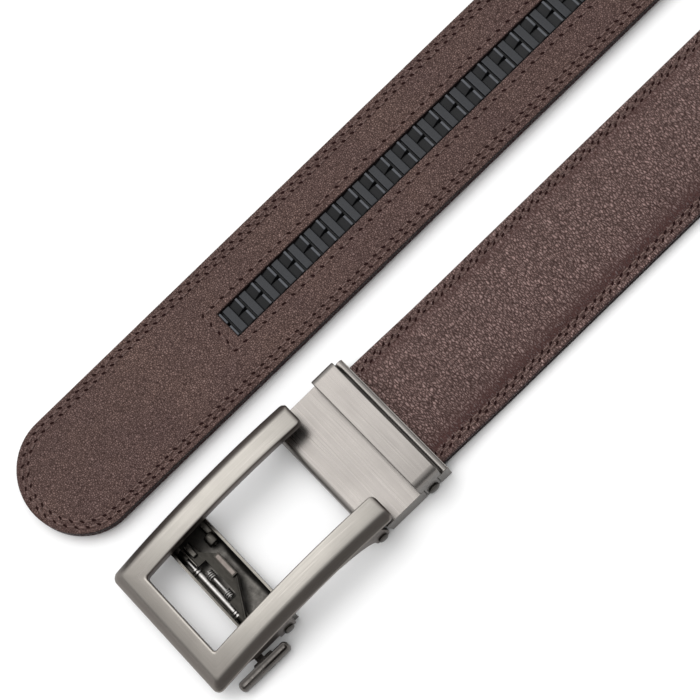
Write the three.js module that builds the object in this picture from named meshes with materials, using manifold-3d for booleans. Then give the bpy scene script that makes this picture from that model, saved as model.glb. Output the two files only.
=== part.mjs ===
// A ratchet belt lying open on a table: a two-layer leather strap, folded back beside itself, with an
// open U-shaped buckle frame hinged to the clamp that holds one end and a toothed track let into the other.
// Millimetres, +Z up. X runs along the strap from the buckle, Y across it. The origin is on the table,
// under the middle of the strap, LIP_BACK past the clamp that holds its end.
import * as THREE from "three";
import { mergeVertices } from "three/addons/utils/BufferGeometryUtils.js";
import Module from "manifold-3d";

const wasm = await Module();
wasm.setup();

// Gaps: moving metal, parts pressed or riveted together, and the sewn seam between the leather layers.
const RUNNING_GAP = 0.3;
const SEAT_GAP = 0.15;
const SEAM = 0.3;

// Working values: how far a cutting tool reaches past what it cuts, how deep a head is sunk in its shank,
// sides of a round piece and of a round corner, and the steps for walking along the strap's bend.
const OVERCUT = 1;
const HEAD_SINK = 0.01;
const ROUND_SIDES = 20;
const CORNER_SIDES = 8;
const MERGE_WITHIN = 1e-4;
const WALK_STEP = 1;
const TURN_STEP = 1e-4;
const RULING_STEP = 1e-3;

// Strap: a flat back layer and a front layer that is padded along its middle.
const STRAP_LENGTH = 1250;
const STRAP_WIDTH = 35;
const BACK_THICKNESS = 1.3;
const FRONT_EDGE = 1.2;
const PADDING = 1.2;
const TIP_LENGTH = 16;
const TIP_STEPS = 7;
const TIP_CUT = 0.06;

// How the strap lies: the runs side by side, and one rolled bend that carries the second run across.
const RUN_SPACING = 48.6;
const TIP_FROM_LIP = 83;
const ROLL_RADIUS = 36;
const LANDING_RADIUS = 110;
const DESCENT_DEG = 26;
const BEND_STATION = 9;
const LEAN_TRIES = 40;

// Ratchet track in the back layer: a flange under the leather and a row of teeth up through a slot.
const TRACK_TEETH = 46;
const TRACK_PITCH = 5.75;
const TRACK_FROM_TIP = 69;
const TRACK_WIDTH = 7.8;
const TRACK_NOTCH = 0.9;
const FLANGE_OVERHANG = 2.3;
const FLANGE_HEIGHT = 0.8;
const TRACK_SUNK = 0.2;

// Clamp that holds the strap's end.
const LIP_BACK = 30;
const CLAMP_TOP = 5;
const PLATE_THICKNESS = 1;
const SIDE_THICKNESS = 1.1;
const STRAP_CLEARANCE = 1.3;
const LIP_BEAD = 1.2;
const LIP_RISE = 0.25;
const STRAP_GRIP = 18;
const STRAP_LIFT = 1;
const LIFT_RUN = 25;
const PAD_RUN = 10;
const PAD_STEPS = 3;
const SIDE_SLANT = 0.8;

// Hinge between the clamp and the buckle frame.
const HINGE_FROM_LIP = 23.4;
const BARREL_RADIUS = 1.9;
const PIN_RADIUS = 0.7;
const HEAD_HEIGHT = 0.7;
const HEAD_RIM = 0.32;
const HEAD_CROWN = 0.72;
const HINGE_HEAD_RADIUS = 1.4;

// Keeper: the raised band that the strap's free end passes under.
const KEEPER_FROM_LIP = 2.3;
const KEEPER_LENGTH = 7.2;
const KEEPER_THICKNESS = 1;
const KEEPER_ROOM = 4.4;
const KEEPER_SHOULDER = 1.1;
const KEEPER_TAB = 4.5;
const KEEPER_HEAD_RADIUS = 1.65;
const KEEPER_RIVET_HEIGHT = 1.7;

// Jaw under the strap's end.
const JAW_THICKNESS = 0.7;
const JAW_LUG_HEIGHT = 2.7;

// Buckle frame: two arms and an end bar, arched along the strap, with a bevelled outer edge.
const FRAME_LENGTH = 61.3;
const FRAME_OVERHANG = 0.9;
const FRAME_THICKNESS = 2.9;
const ARM_OVER_HINGE = 5.4;
const ARM_WIDTH = 7.6;
const END_BAR = 6.8;
const BEVEL_RUN = 2.3;
const BEVEL_DROP = 2.2;
const ARCH_RADIUS = 160;
const ARCH_TOP = 13;
const ARCH_FROM_END = 19;
const ARCH_STEPS = 14;
const CORNER_RADIUS = 2;
const ARM_END_ROUND = 1;
const BEVEL_ABOVE = 2;

// Ears: thin cheeks under the arms that carry the hinge pin and the ratchet tray.
const EAR_THICKNESS = 1.3;
const EAR_INSET = 0.4;
const HINGE_EAR_RADIUS = 2.2;
const HINGE_COVE = 24.2;
const EAR_LEAN_DEG = 15;
const TRAY_EAR_BACK = 1.1;
const TRAY_EAR_LENGTH = 13.3;
const TRAY_EAR_COVE = 5.5;
const TRAY_EAR_HEIGHT = 4;
const TRAY_BOSS_LENGTH = 5.4;
const TRAY_BOSS_HEIGHT = 2.3;
const TRAY_BOSS_ROUND = 1;
const EAR_ROOT = 0.5;

// Ratchet tray under the frame and what turns in it. It sits a fixed way in from the closed end.
const TRAY_PLACE = 14.8;
const TRAY_LENGTH = 12.5;
const TRAY_HEIGHT = 4.4;
const TRAY_FLOOR = 0.8;
const TRAY_WALL = 0.6;
const TRAY_END_WALL = 1.2;
const TRAY_RIVET_BACK = 3.5;
const TRAY_RIVET_HEIGHT = 3.6;
const TRAY_HEAD_RADIUS = 1.5;
const TRAY_RIB_RADIUS = 1.4;
const TRAY_RIB_LENGTH = 8;
const TRAY_RIB_BACK = 0.84;
const TRAY_RIB_LIFT = 0.98;
const PAWL_PIN_BACK = 10.6;
const PAWL_PIN_HEIGHT = 2.2;
const PAWL_PIN_RADIUS = 0.8;
const PAWL_REACH = 7.2;
const PAWL_WIDTH = 26;
const PAWL_OFFSET = 0.8;
const PAWL_UNDERSIDE = 3.2;
const PAWL_THICKNESS = 0.8;
const PAWL_LUG_LENGTH = 3;
const PAWL_LUG_REACH = 2.16;
const PAWL_LUG_RADIUS = 1.15;
const TOOTH_LENGTH = 1.6;
const TOOTH_WIDTH = 7.4;
const TOOTH_RISE = 1;
const TOOTH_ACROSS = 2.5;
const SPRING_FROM_PIN = 2;
const SPRING_HEIGHT = 3.5;
const SPRING_RADIUS = 1.15;
const SPRING_COIL = 1.7;
const SPRING_SPAN = 6.8;
const SPRING_ACROSS = 0.9;
const SPRING_ROD_RADIUS = 0.6;
const TAB_LENGTH = 16.5;
const TAB_WIDTH = 3.2;
const TAB_HEIGHT = 2.2;
const TAB_BOTTOM = 1.2;
const TAB_PAST_PIN = 4.1;
const TAB_SLANT = 2.6;
const TAB_NOSE = 1.28;
const TAB_HEEL = 1.6;
const TAB_HEEL_SLANT = 1.56;
const TAB_CORNER = 0.3;
const TAB_CLEARANCE = 0.4;
const NECK_LENGTH = 2.2;
const NECK_THICKNESS = 1.3;
const NECK_OVERLAP = 0.5;
const CHEEK_THICKNESS = 1.2;

// Half the front layer's section: distance from the middle as a share of the half width, and height as a
// share of the padding. The margins that are sewn stay flat.
const PAD_SECTION = [
  { across: 1, rise: 0 },
  { across: 0.83, rise: 0 },
  { across: 0.7, rise: 0.42 },
  { across: 0.45, rise: 0.82 },
  { across: 0.2, rise: 0.97 },
];

// One tooth of the track: length along it as a share of the pitch, height as a share of the track's rise.
const TOOTH_SECTION = [
  { along: 0, height: 0.8 },
  { along: 0.38, height: 0.8 },
  { along: 0.75, height: 0.4 },
  { along: 0.79, height: 1 },
  { along: 0.91, height: 1 },
  { along: 0.93, height: 0.15 },
];
const NOTCH_SECTION = [
  { along: 0, height: 0.8 },
  { along: 0.38, height: 0.8 },
  { along: 0.42, height: 0.15 },
  { along: 0.97, height: 0.15 },
];

// The pawl's plate seen from above: reach from its pin as a share of PAWL_REACH, across as a share of
// half the pawl's width.
const PAWL_PLATE = [
  { reach: 0.1, across: 1 },
  { reach: 0.5, across: 1 },
  { reach: 0.5, across: 0.72 },
  { reach: 0.97, across: 0.42 },
  { reach: 0.97, across: -0.16 },
  { reach: 0.1, across: -1 },
  { reach: 0.1, across: -0.45 },
  { reach: 0.49, across: -0.45 },
  { reach: 0.49, across: 0.5 },
  { reach: 0.1, across: 0.5 },
];

// Sizes that follow from those above: the strap's width drives the clamp and the buckle frame.
const CLAMP_WIDTH = STRAP_WIDTH + 2 * (STRAP_CLEARANCE + SIDE_THICKNESS);
const FRAME_WIDTH = CLAMP_WIDTH + 2 * FRAME_OVERHANG;
const strapHalf = STRAP_WIDTH / 2;
const frontMiddle = FRONT_EDGE + PADDING;
const buckleRunSeam = BACK_THICKNESS + SEAM / 2;
const tailRunSeam = frontMiddle + SEAM / 2;
const clampHalf = CLAMP_WIDTH / 2;
const sideInner = clampHalf - SIDE_THICKNESS;
const lipX = -LIP_BACK;
const plateUnder = CLAMP_TOP - PLATE_THICKNESS;
const hingeX = lipX - HINGE_FROM_LIP;
const hingeZ = CLAMP_TOP - BARREL_RADIUS;
const frameRight = hingeX + ARM_OVER_HINGE;
const frameLeft = frameRight - FRAME_LENGTH;
const frameHalf = FRAME_WIDTH / 2;
const openingHalf = frameHalf - ARM_WIDTH;
const archX = frameRight - ARCH_FROM_END;
const earOuter = frameHalf - EAR_INSET;
const earInner = earOuter - EAR_THICKNESS;
const barrelHalf = earInner - RUNNING_GAP;
const boreRadius = PIN_RADIUS + SEAT_GAP;
const keeperRight = lipX - KEEPER_FROM_LIP;
const keeperLeft = keeperRight - KEEPER_LENGTH;
const keeperX = (keeperLeft + keeperRight) / 2;
const keeperUnder = CLAMP_TOP + KEEPER_ROOM;
const keeperTop = keeperUnder + KEEPER_THICKNESS;
const trayLeft = frameLeft + TRAY_PLACE;
const trayRight = trayLeft + TRAY_LENGTH;
const trayHalf = earInner - SEAT_GAP;
const trayWallInner = trayHalf - TRAY_END_WALL;
const trayEarRight = trayRight - TRAY_EAR_BACK;
const trayEarLeft = trayEarRight - TRAY_EAR_LENGTH;
const trayRivetX = trayRight - TRAY_RIVET_BACK;
const pawlPinX = trayRight - PAWL_PIN_BACK;
const tipX = lipX - TIP_FROM_LIP;
const jawTop = STRAP_LIFT - SEAT_GAP;
const jawLugOuter = sideInner - SEAT_GAP;
const jawLugInner = jawLugOuter - JAW_THICKNESS;

// Solids: three.js makes each shape, and the boolean library only joins and cuts them.
function solidOf(geometry) {
  const bare = new THREE.BufferGeometry();
  bare.setAttribute("position", geometry.getAttribute("position").clone());
  if (geometry.index) bare.setIndex(geometry.index.clone());
  const merged = mergeVertices(bare, MERGE_WITHIN);
  return new wasm.Manifold(
    new wasm.Mesh({
      numProp: 3,
      vertProperties: merged.getAttribute("position").array,
      triVerts: new Uint32Array(merged.index.array),
    }),
  );
}

function join(...solids) {
  return solids.reduce((whole, next) => whole.add(next));
}

function cut(solid, ...tools) {
  return tools.reduce((rest, tool) => rest.subtract(tool), solid);
}

function shapeOf(points) {
  return new THREE.Shape(points.map(([a, b]) => new THREE.Vector2(a, b)));
}

function extrude(shape, depth) {
  return new THREE.ExtrudeGeometry(shape, { depth, bevelEnabled: false, curveSegments: CORNER_SIDES });
}

// A side view (x, z) carried across from y0 to y1.
function acrossY(shape, y0, y1) {
  return solidOf(extrude(shape, y1 - y0).rotateX(Math.PI / 2).translate(0, y1, 0));
}

// A plan (x, y) raised from z0 to z1.
function upZ(shape, z0, z1) {
  return solidOf(extrude(shape, z1 - z0).translate(0, 0, z0));
}

// A section (y, z) carried along from x0 to x1.
function alongX(shape, x0, x1) {
  const turn = new THREE.Matrix4().makeBasis(
    new THREE.Vector3(0, 1, 0),
    new THREE.Vector3(0, 0, 1),
    new THREE.Vector3(1, 0, 0),
  );
  return solidOf(extrude(shape, x1 - x0).applyMatrix4(turn).translate(x0, 0, 0));
}

function box(x0, x1, y0, y1, z0, z1) {
  const block = new THREE.BoxGeometry(x1 - x0, y1 - y0, z1 - z0);
  return solidOf(block.translate((x0 + x1) / 2, (y0 + y1) / 2, (z0 + z1) / 2));
}

function rodY(radius, x, z, y0, y1, sides = ROUND_SIDES) {
  const rod = new THREE.CylinderGeometry(radius, radius, y1 - y0, sides);
  return solidOf(rod.translate(x, (y0 + y1) / 2, z));
}

// A low domed head: a lathed disc whose rim is rounded, facing towards the given side.
function headY(radius, x, z, y, side) {
  const profile = [
    [0, 0],
    [radius, 0],
    [radius, HEAD_RIM],
    [radius * HEAD_CROWN, HEAD_HEIGHT],
    [0, HEAD_HEIGHT],
  ].map(([r, h]) => new THREE.Vector2(r, h));
  const head = new THREE.LatheGeometry(profile, ROUND_SIDES);
  if (side < 0) head.rotateX(Math.PI);
  return solidOf(head.translate(x, y, z));
}

// A solid skinned over rings of points; outline holds the flat shape of a ring, which closes both ends.
function loft(rings, outline) {
  const count = outline.length;
  const caps = THREE.ShapeUtils.triangulateShape(outline, []);
  const last = (rings.length - 1) * count;
  const index = [];
  for (let i = 0; i + 1 < rings.length; i++) {
    for (let j = 0; j < count; j++) {
      const a = i * count + j;
      const b = i * count + ((j + 1) % count);
      index.push(a, b, b + count, a, b + count, a + count);
    }
  }
  for (const [a, b, c] of caps) {
    index.push(a, c, b);
    index.push(last + a, last + b, last + c);
  }
  const positions = rings.flat().flatMap((point) => point.toArray());
  const geometry = new THREE.BufferGeometry();
  geometry.setAttribute("position", new THREE.Float32BufferAttribute(positions, 3));
  return solidOf(geometry.setIndex(index));
}

// A smooth step from 0 to 1, whose steepest slope is EASE_PEAK.
const EASE_PEAK = 1.5;

function ease(share) {
  const f = Math.min(Math.max(share, 0), 1);
  return f * f * (3 - 2 * f);
}

// The bend: the strap's pitch u turns from 0, past half a turn, and back to half a turn as it lands. The
// strap leans sideways by lean * sin(u), so that both runs stay parallel and the second lands
// beside the first. The strap only bends about lines that lie in it, as leather does.
const descent = THREE.MathUtils.degToRad(DESCENT_DEG);
const rollLength = EASE_PEAK * (Math.PI + descent) * ROLL_RADIUS;
const landLength = EASE_PEAK * descent * LANDING_RADIUS;

function heading(u, lean) {
  const tilt = lean * Math.sin(u);
  return new THREE.Vector3(
    Math.cos(u),
    Math.sin(u) * Math.sin(tilt),
    Math.sin(u) * Math.cos(tilt),
  );
}

function facing(u, lean) {
  return heading(u + TURN_STEP, lean)
    .sub(heading(u - TURN_STEP, lean))
    .normalize();
}

// The line across the strap along which it stays straight, as far out as one unit across. It slants in
// the bend, and on the flat runs it is square to the strap.
function ruling(u, lean, isFlat) {
  const face = facing(u, lean);
  const side = face.clone().cross(heading(u, lean));
  if (isFlat) return side;
  const turn = facing(u + RULING_STEP, lean).sub(facing(u - RULING_STEP, lean));
  const line = face.cross(turn);
  return line.divideScalar(line.dot(side));
}

function walk(pitchAt, length, lean, start) {
  const steps = Math.ceil(length / WALK_STEP);
  const stretch = [];
  const point = start.clone();
  for (let i = 0; i < steps; i++) {
    stretch.push({ at: (i / steps) * length, u: pitchAt(i / steps), point: point.clone() });
    point.addScaledVector(heading(pitchAt((i + 0.5) / steps), lean), length / steps);
  }
  return { stretch, end: point };
}

function bendFor(lean) {
  const roll = walk((f) => (Math.PI + descent) * ease(f), rollLength, lean, new THREE.Vector3());
  const landPitch = (f) => Math.PI + descent * (1 - ease(f));
  const land = walk(landPitch, landLength, lean, new THREE.Vector3());
  const down = heading(Math.PI + descent, lean);
  const rise = tailRunSeam - buckleRunSeam;
  const slopeLength = (rise - roll.end.z - land.end.z) / down.z;
  const slope = walk(() => Math.PI + descent, slopeLength, lean, roll.end);
  const landed = walk(landPitch, landLength, lean, slope.end);
  const shift = (part, by) => part.stretch.map((row) => ({ ...row, at: row.at + by }));
  const length = rollLength + slopeLength + landLength;
  const rows = [
    ...shift(roll, 0),
    ...shift(slope, rollLength),
    ...shift(landed, rollLength + slopeLength),
    { at: length, u: Math.PI, point: landed.end },
  ];
  return { lean, rows, length, end: landed.end };
}

function bendWithShift(shift) {
  let low = 0;
  let high = Math.PI / 2;
  for (let i = 0; i < LEAN_TRIES; i++) {
    const middle = (low + high) / 2;
    if (bendFor(middle).end.y < shift) low = middle;
    else high = middle;
  }
  return bendFor((low + high) / 2);
}

const bend = bendWithShift(RUN_SPACING);
const strapEndX = lipX - STRAP_GRIP;
const bendX = (STRAP_LENGTH + strapEndX + tipX - bend.length - bend.end.x) / 2;
const bendStart = bendX - strapEndX;
const bendEnd = bendStart + bend.length;

// Where the strap's middle line is at a length s from its clamped end, and which way it faces there.
function strapAt(s) {
  if (s < bendStart) {
    const x = strapEndX + s;
    const lift = STRAP_LIFT * (1 - ease((x - lipX) / LIFT_RUN));
    return { point: new THREE.Vector3(x, 0, buckleRunSeam + lift), u: 0, isFlat: true };
  }
  const from = new THREE.Vector3(bendX, 0, buckleRunSeam);
  if (s >= bendEnd) {
    const point = from.add(bend.end);
    point.x -= s - bendEnd;
    return { point, u: Math.PI, isFlat: s > bendEnd };
  }
  const t = s - bendStart;
  const next = bend.rows.findIndex((row) => row.at > t);
  const a = bend.rows[next - 1];
  const b = bend.rows[next];
  const f = (t - a.at) / (b.at - a.at);
  const point = from.add(a.point.clone().lerp(b.point, f));
  return { point, u: THREE.MathUtils.lerp(a.u, b.u, f), isFlat: false };
}

function halfWidthAt(s) {
  const past = (s - (STRAP_LENGTH - TIP_LENGTH)) / TIP_LENGTH;
  return past <= 0 ? strapHalf : strapHalf * Math.sqrt(Math.max(1 - past * past, 0));
}

function paddingAt(s) {
  const width = halfWidthAt(s) / strapHalf;
  return PADDING * width * width * ease((strapEndX + s - lipX) / PAD_RUN);
}

function strapStations() {
  const stations = [0, STRAP_GRIP];
  for (let i = 1; i <= PAD_STEPS; i++) stations.push(STRAP_GRIP + (PAD_RUN * i) / PAD_STEPS);
  stations.push(STRAP_GRIP + (PAD_RUN + LIFT_RUN) / 2, STRAP_GRIP + LIFT_RUN);
  const count = Math.ceil(bend.length / BEND_STATION);
  for (let i = 0; i <= count; i++) stations.push(bendStart + (bend.length * i) / count);
  for (let i = 0; i < TIP_STEPS; i++) {
    const angle = (i / TIP_STEPS) * 0.5 * Math.PI;
    stations.push(STRAP_LENGTH - TIP_LENGTH + TIP_LENGTH * Math.sin(angle));
  }
  stations.push(STRAP_LENGTH - TIP_CUT);
  return stations;
}

// One leather layer: section(s) gives its outline there, as distances across and out from the seam.
function strapLayer(section) {
  const rings = strapStations().map((s) => {
    const { point, u, isFlat } = strapAt(s);
    const face = facing(u, bend.lean);
    const side = ruling(u, bend.lean, isFlat);
    return section(s).map(({ x: v, y: n }) =>
      point.clone().addScaledVector(side, v).addScaledVector(face, n),
    );
  });
  return loft(rings, section(STRAP_LENGTH / 2));
}

function backSection(s) {
  const half = halfWidthAt(s);
  const near = -SEAM / 2;
  const far = near - BACK_THICKNESS;
  return [
    [-half, far],
    [half, far],
    [half, near],
    [-half, near],
  ].map(([v, n]) => new THREE.Vector2(v, n));
}

function frontSection(s) {
  const half = halfWidthAt(s);
  const near = SEAM / 2;
  const far = near + FRONT_EDGE;
  const top = PAD_SECTION.map(({ across, rise }) => [across * half, far + rise * paddingAt(s)]);
  const mirrored = top.map(([v, n]) => [-v, n]).reverse();
  const corners = [
    [-half, near],
    [half, near],
  ];
  return [...corners, ...top, ...mirrored].map(([v, n]) => new THREE.Vector2(v, n));
}

// Track: its slot starts TRACK_FROM_TIP from the strap's rounded tip.
const trackLeft = tipX + TRACK_FROM_TIP;
const trackRight = trackLeft + TRACK_TEETH * TRACK_PITCH;
const trackHalf = TRACK_WIDTH / 2;
const slotHalf = trackHalf + RUNNING_GAP;
const flangeHalf = trackHalf + FLANGE_OVERHANG;
const recessFloor = tailRunSeam - SEAM / 2 - FLANGE_HEIGHT;
const flangeBottom = recessFloor + SEAT_GAP;
const trackRise = SEAM / 2 + BACK_THICKNESS - TRACK_SUNK;

function slotCutter() {
  const y = RUN_SPACING;
  const x0 = trackLeft - RUNNING_GAP;
  const x1 = trackRight + RUNNING_GAP;
  return box(x0, x1, y - slotHalf, y + slotHalf, tailRunSeam, tailRunSeam + 2 * BACK_THICKNESS);
}

function recessCutter() {
  const half = flangeHalf + RUNNING_GAP;
  const x0 = trackLeft - FLANGE_OVERHANG - RUNNING_GAP;
  const x1 = trackRight + FLANGE_OVERHANG + RUNNING_GAP;
  return box(x0, x1, RUN_SPACING - half, RUN_SPACING + half, recessFloor, tailRunSeam);
}

function toothRow(section, y0, y1) {
  const points = [[trackLeft, flangeBottom]];
  for (let tooth = 0; tooth < TRACK_TEETH; tooth++) {
    for (const { along, height } of section) {
      const x = trackLeft + (tooth + along) * TRACK_PITCH;
      points.push([x, tailRunSeam + height * trackRise]);
    }
  }
  points.push([trackRight, tailRunSeam + section.at(-1).height * trackRise], [trackRight, flangeBottom]);
  return acrossY(shapeOf(points), y0, y1);
}

function ratchetTrack() {
  const middle = RUN_SPACING;
  const notch = TRACK_NOTCH / 2;
  const flange = box(
    trackLeft - FLANGE_OVERHANG,
    trackRight + FLANGE_OVERHANG,
    middle - flangeHalf,
    middle + flangeHalf,
    flangeBottom,
    tailRunSeam,
  );
  return join(
    flange,
    toothRow(TOOTH_SECTION, middle - trackHalf, middle - notch),
    toothRow(NOTCH_SECTION, middle - notch, middle + notch),
    toothRow(TOOTH_SECTION, middle + notch, middle + trackHalf),
  );
}

// Clamp: plate, sides, a barrel for the hinge pin and a beaded lip.
function clampBody() {
  const sidesLeft = hingeX + HINGE_EAR_RADIUS + RUNNING_GAP;
  const side = shapeOf([
    [sidesLeft + SIDE_SLANT, 0],
    [lipX, 0],
    [lipX, CLAMP_TOP],
    [sidesLeft, CLAMP_TOP],
    [sidesLeft, plateUnder],
  ]);
  const tongue = box(hingeX, sidesLeft, -barrelHalf, barrelHalf, plateUnder, CLAMP_TOP);
  const plate = box(sidesLeft, lipX, -clampHalf, clampHalf, plateUnder, CLAMP_TOP);
  const bead = box(lipX - LIP_BEAD, lipX, -clampHalf, clampHalf, plateUnder, CLAMP_TOP + LIP_RISE);
  const barrel = rodY(BARREL_RADIUS, hingeX, hingeZ, -barrelHalf, barrelHalf);
  const bore = rodY(boreRadius, hingeX, hingeZ, -barrelHalf - OVERCUT, barrelHalf + OVERCUT);
  const notchLeft = keeperX - KEEPER_TAB / 2 - SEAT_GAP;
  const notchRight = keeperX + KEEPER_TAB / 2 + SEAT_GAP;
  const notches = [-1, 1].map((end) => {
    const inner = end * (sideInner - SEAT_GAP);
    const outer = end * (clampHalf + OVERCUT);
    const y0 = Math.min(inner, outer);
    const y1 = Math.max(inner, outer);
    return box(notchLeft, notchRight, y0, y1, -OVERCUT, CLAMP_TOP + OVERCUT);
  });
  const whole = join(
    tongue,
    plate,
    acrossY(side, sideInner, clampHalf),
    acrossY(side, -clampHalf, -sideInner),
    bead,
    barrel,
  );
  return cut(whole, bore, ...notches);
}

// Keeper band: top, slanted shoulders and legs that end in tabs let into the clamp's sides.
function keeperLoop() {
  const shoulderOut = clampHalf - KEEPER_SHOULDER;
  const foot = CLAMP_TOP + SEAT_GAP;
  const outline = [
    [-clampHalf, foot],
    [-clampHalf, keeperTop - KEEPER_SHOULDER],
    [-shoulderOut, keeperTop],
    [shoulderOut, keeperTop],
    [clampHalf, keeperTop - KEEPER_SHOULDER],
    [clampHalf, foot],
    [sideInner, foot],
    [sideInner, keeperUnder],
    [-sideInner, keeperUnder],
    [-sideInner, foot],
  ];
  const band = alongX(shapeOf(outline.reverse()), keeperLeft, keeperRight);
  const tabLeft = keeperX - KEEPER_TAB / 2;
  const tabRight = keeperX + KEEPER_TAB / 2;
  const tabs = [
    box(tabLeft, tabRight, sideInner, clampHalf, SEAT_GAP, foot + KEEPER_THICKNESS),
    box(tabLeft, tabRight, -clampHalf, -sideInner, SEAT_GAP, foot + KEEPER_THICKNESS),
  ];
  const bore = rodY(boreRadius, keeperX, KEEPER_RIVET_HEIGHT, -clampHalf - OVERCUT, clampHalf + OVERCUT);
  return cut(join(band, ...tabs), bore);
}

function clampJaw() {
  const left = strapEndX;
  const right = lipX - RUNNING_GAP;
  const lugs = [
    box(keeperLeft, keeperRight, jawLugInner, jawLugOuter, SEAT_GAP, JAW_LUG_HEIGHT),
    box(keeperLeft, keeperRight, -jawLugOuter, -jawLugInner, SEAT_GAP, JAW_LUG_HEIGHT),
  ];
  const base = box(left, right, -jawLugOuter, jawLugOuter, SEAT_GAP, jawTop);
  const bore = rodY(boreRadius, keeperX, KEEPER_RIVET_HEIGHT, -clampHalf, clampHalf);
  return cut(join(base, ...lugs), bore);
}

// A short rivet from an inner face out through a side, with its domed head outside.
function rivet(x, z, inner, outer, headRadius, end) {
  const from = Math.min(end * inner, end * outer);
  const to = Math.max(end * inner, end * outer);
  return join(rodY(PIN_RADIUS, x, z, from, to), headY(headRadius, x, z, end * (outer - HEAD_SINK), end));
}

function hingePin() {
  const half = earOuter + SEAT_GAP;
  return join(
    rodY(PIN_RADIUS, hingeX, hingeZ, -half, half),
    headY(HINGE_HEAD_RADIUS, hingeX, hingeZ, half - HEAD_SINK, 1),
    headY(HINGE_HEAD_RADIUS, hingeX, hingeZ, -half + HEAD_SINK, -1),
  );
}

// Buckle frame.
function archAt(x) {
  return ARCH_TOP - ((x - archX) * (x - archX)) / (2 * ARCH_RADIUS);
}

function archPoints(x0, x1, below) {
  const points = [];
  for (let i = 0; i <= ARCH_STEPS; i++) {
    const x = x0 + ((x1 - x0) * i) / ARCH_STEPS;
    points.push([x, archAt(x) - below]);
  }
  return points;
}

function archedSweep(outline, x0, x1) {
  const rings = archPoints(x0, x1, 0).map(([x, z]) =>
    outline.map((p) => new THREE.Vector3(x, p.x, z + p.y)),
  );
  return loft(rings, outline);
}

function frameSide() {
  const bevelled = frameLeft + BEVEL_RUN;
  const rounded = frameRight - ARM_END_ROUND;
  return shapeOf([
    [frameLeft, archAt(frameLeft) - FRAME_THICKNESS],
    ...archPoints(bevelled, rounded, FRAME_THICKNESS),
    [frameRight, archAt(frameRight) - FRAME_THICKNESS],
    [frameRight, archAt(frameRight) - ARM_END_ROUND],
    ...archPoints(rounded, bevelled, 0),
    [frameLeft, archAt(frameLeft) - BEVEL_DROP],
  ]);
}

function framePlan() {
  const plan = new THREE.Shape();
  const r = CORNER_RADIUS;
  plan.moveTo(frameRight + OVERCUT, -frameHalf);
  plan.lineTo(frameRight + OVERCUT, frameHalf);
  plan.lineTo(frameLeft + r, frameHalf);
  plan.absarc(frameLeft + r, frameHalf - r, r, Math.PI / 2, Math.PI);
  plan.lineTo(frameLeft, -frameHalf + r);
  plan.absarc(frameLeft + r, -frameHalf + r, r, Math.PI, 1.5 * Math.PI);
  return plan;
}

// The hinge ear's right edge leans back from the arm's end, so that it clears the clamp as the frame
// swings up.
function hingeEar() {
  const root = FRAME_THICKNESS - EAR_ROOT;
  const coveX = hingeX - HINGE_COVE;
  const coveTop = archAt(coveX) - FRAME_THICKNESS;
  const lean = THREE.MathUtils.degToRad(EAR_LEAN_DEG);
  const edgeX = hingeX + HINGE_EAR_RADIUS * Math.cos(lean);
  const edgeZ = hingeZ + HINGE_EAR_RADIUS * Math.sin(lean);
  const topX = edgeX - Math.tan(lean) * (archAt(edgeX) - root - edgeZ);
  const ear = new THREE.Shape();
  ear.moveTo(edgeX, edgeZ);
  for (const [x, z] of archPoints(topX, coveX, root)) ear.lineTo(x, z);
  ear.absellipse(coveX, hingeZ, hingeX - HINGE_EAR_RADIUS - coveX, coveTop - hingeZ, Math.PI / 2, 0, true);
  ear.absarc(hingeX, hingeZ, HINGE_EAR_RADIUS, Math.PI, 2 * Math.PI + lean);
  return ear;
}

function trayEar() {
  const root = FRAME_THICKNESS - EAR_ROOT;
  const coveX = trayEarLeft - TRAY_EAR_COVE;
  const coveTop = archAt(coveX) - FRAME_THICKNESS;
  const bossLeft = trayEarRight - TRAY_BOSS_LENGTH;
  const corner = TRAY_BOSS_ROUND;
  const ear = new THREE.Shape();
  ear.moveTo(trayEarRight, TRAY_BOSS_HEIGHT + corner);
  for (const [x, z] of archPoints(trayEarRight, coveX, root)) ear.lineTo(x, z);
  ear.absellipse(coveX, TRAY_EAR_HEIGHT, TRAY_EAR_COVE, coveTop - TRAY_EAR_HEIGHT, Math.PI / 2, 0, true);
  ear.lineTo(bossLeft, TRAY_EAR_HEIGHT);
  ear.lineTo(bossLeft, TRAY_BOSS_HEIGHT);
  ear.absarc(trayEarRight - corner, TRAY_BOSS_HEIGHT + corner, corner, 1.5 * Math.PI, 2 * Math.PI);
  return ear;
}

function buckleFrame() {
  const flat = frameHalf - BEVEL_RUN;
  const narrow = flat - (BEVEL_RUN * BEVEL_ABOVE) / BEVEL_DROP;
  const bevels = [
    [-narrow, BEVEL_ABOVE],
    [-frameHalf, -BEVEL_DROP],
    [-frameHalf, -2 * FRAME_THICKNESS],
    [frameHalf, -2 * FRAME_THICKNESS],
    [frameHalf, -BEVEL_DROP],
    [narrow, BEVEL_ABOVE],
  ].map(([y, z]) => new THREE.Vector2(y, z));
  const bar = acrossY(frameSide(), -frameHalf, frameHalf)
    .intersect(archedSweep(bevels, frameLeft - OVERCUT, frameRight + OVERCUT))
    .intersect(upZ(framePlan(), 0, 2 * ARCH_TOP));
  const openingLeft = frameLeft + END_BAR;
  const opening = box(openingLeft, frameRight + OVERCUT, -openingHalf, openingHalf, 0, 2 * ARCH_TOP);
  const ears = [
    acrossY(hingeEar(), earInner, earOuter),
    acrossY(hingeEar(), -earOuter, -earInner),
    acrossY(trayEar(), earInner, earOuter),
    acrossY(trayEar(), -earOuter, -earInner),
  ];
  const hingeBore = rodY(boreRadius, hingeX, hingeZ, -frameHalf, frameHalf);
  const trayBore = rodY(boreRadius, trayRivetX, TRAY_RIVET_HEIGHT, -frameHalf, frameHalf);
  return cut(join(cut(bar, opening), ...ears), hingeBore, trayBore);
}

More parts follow.
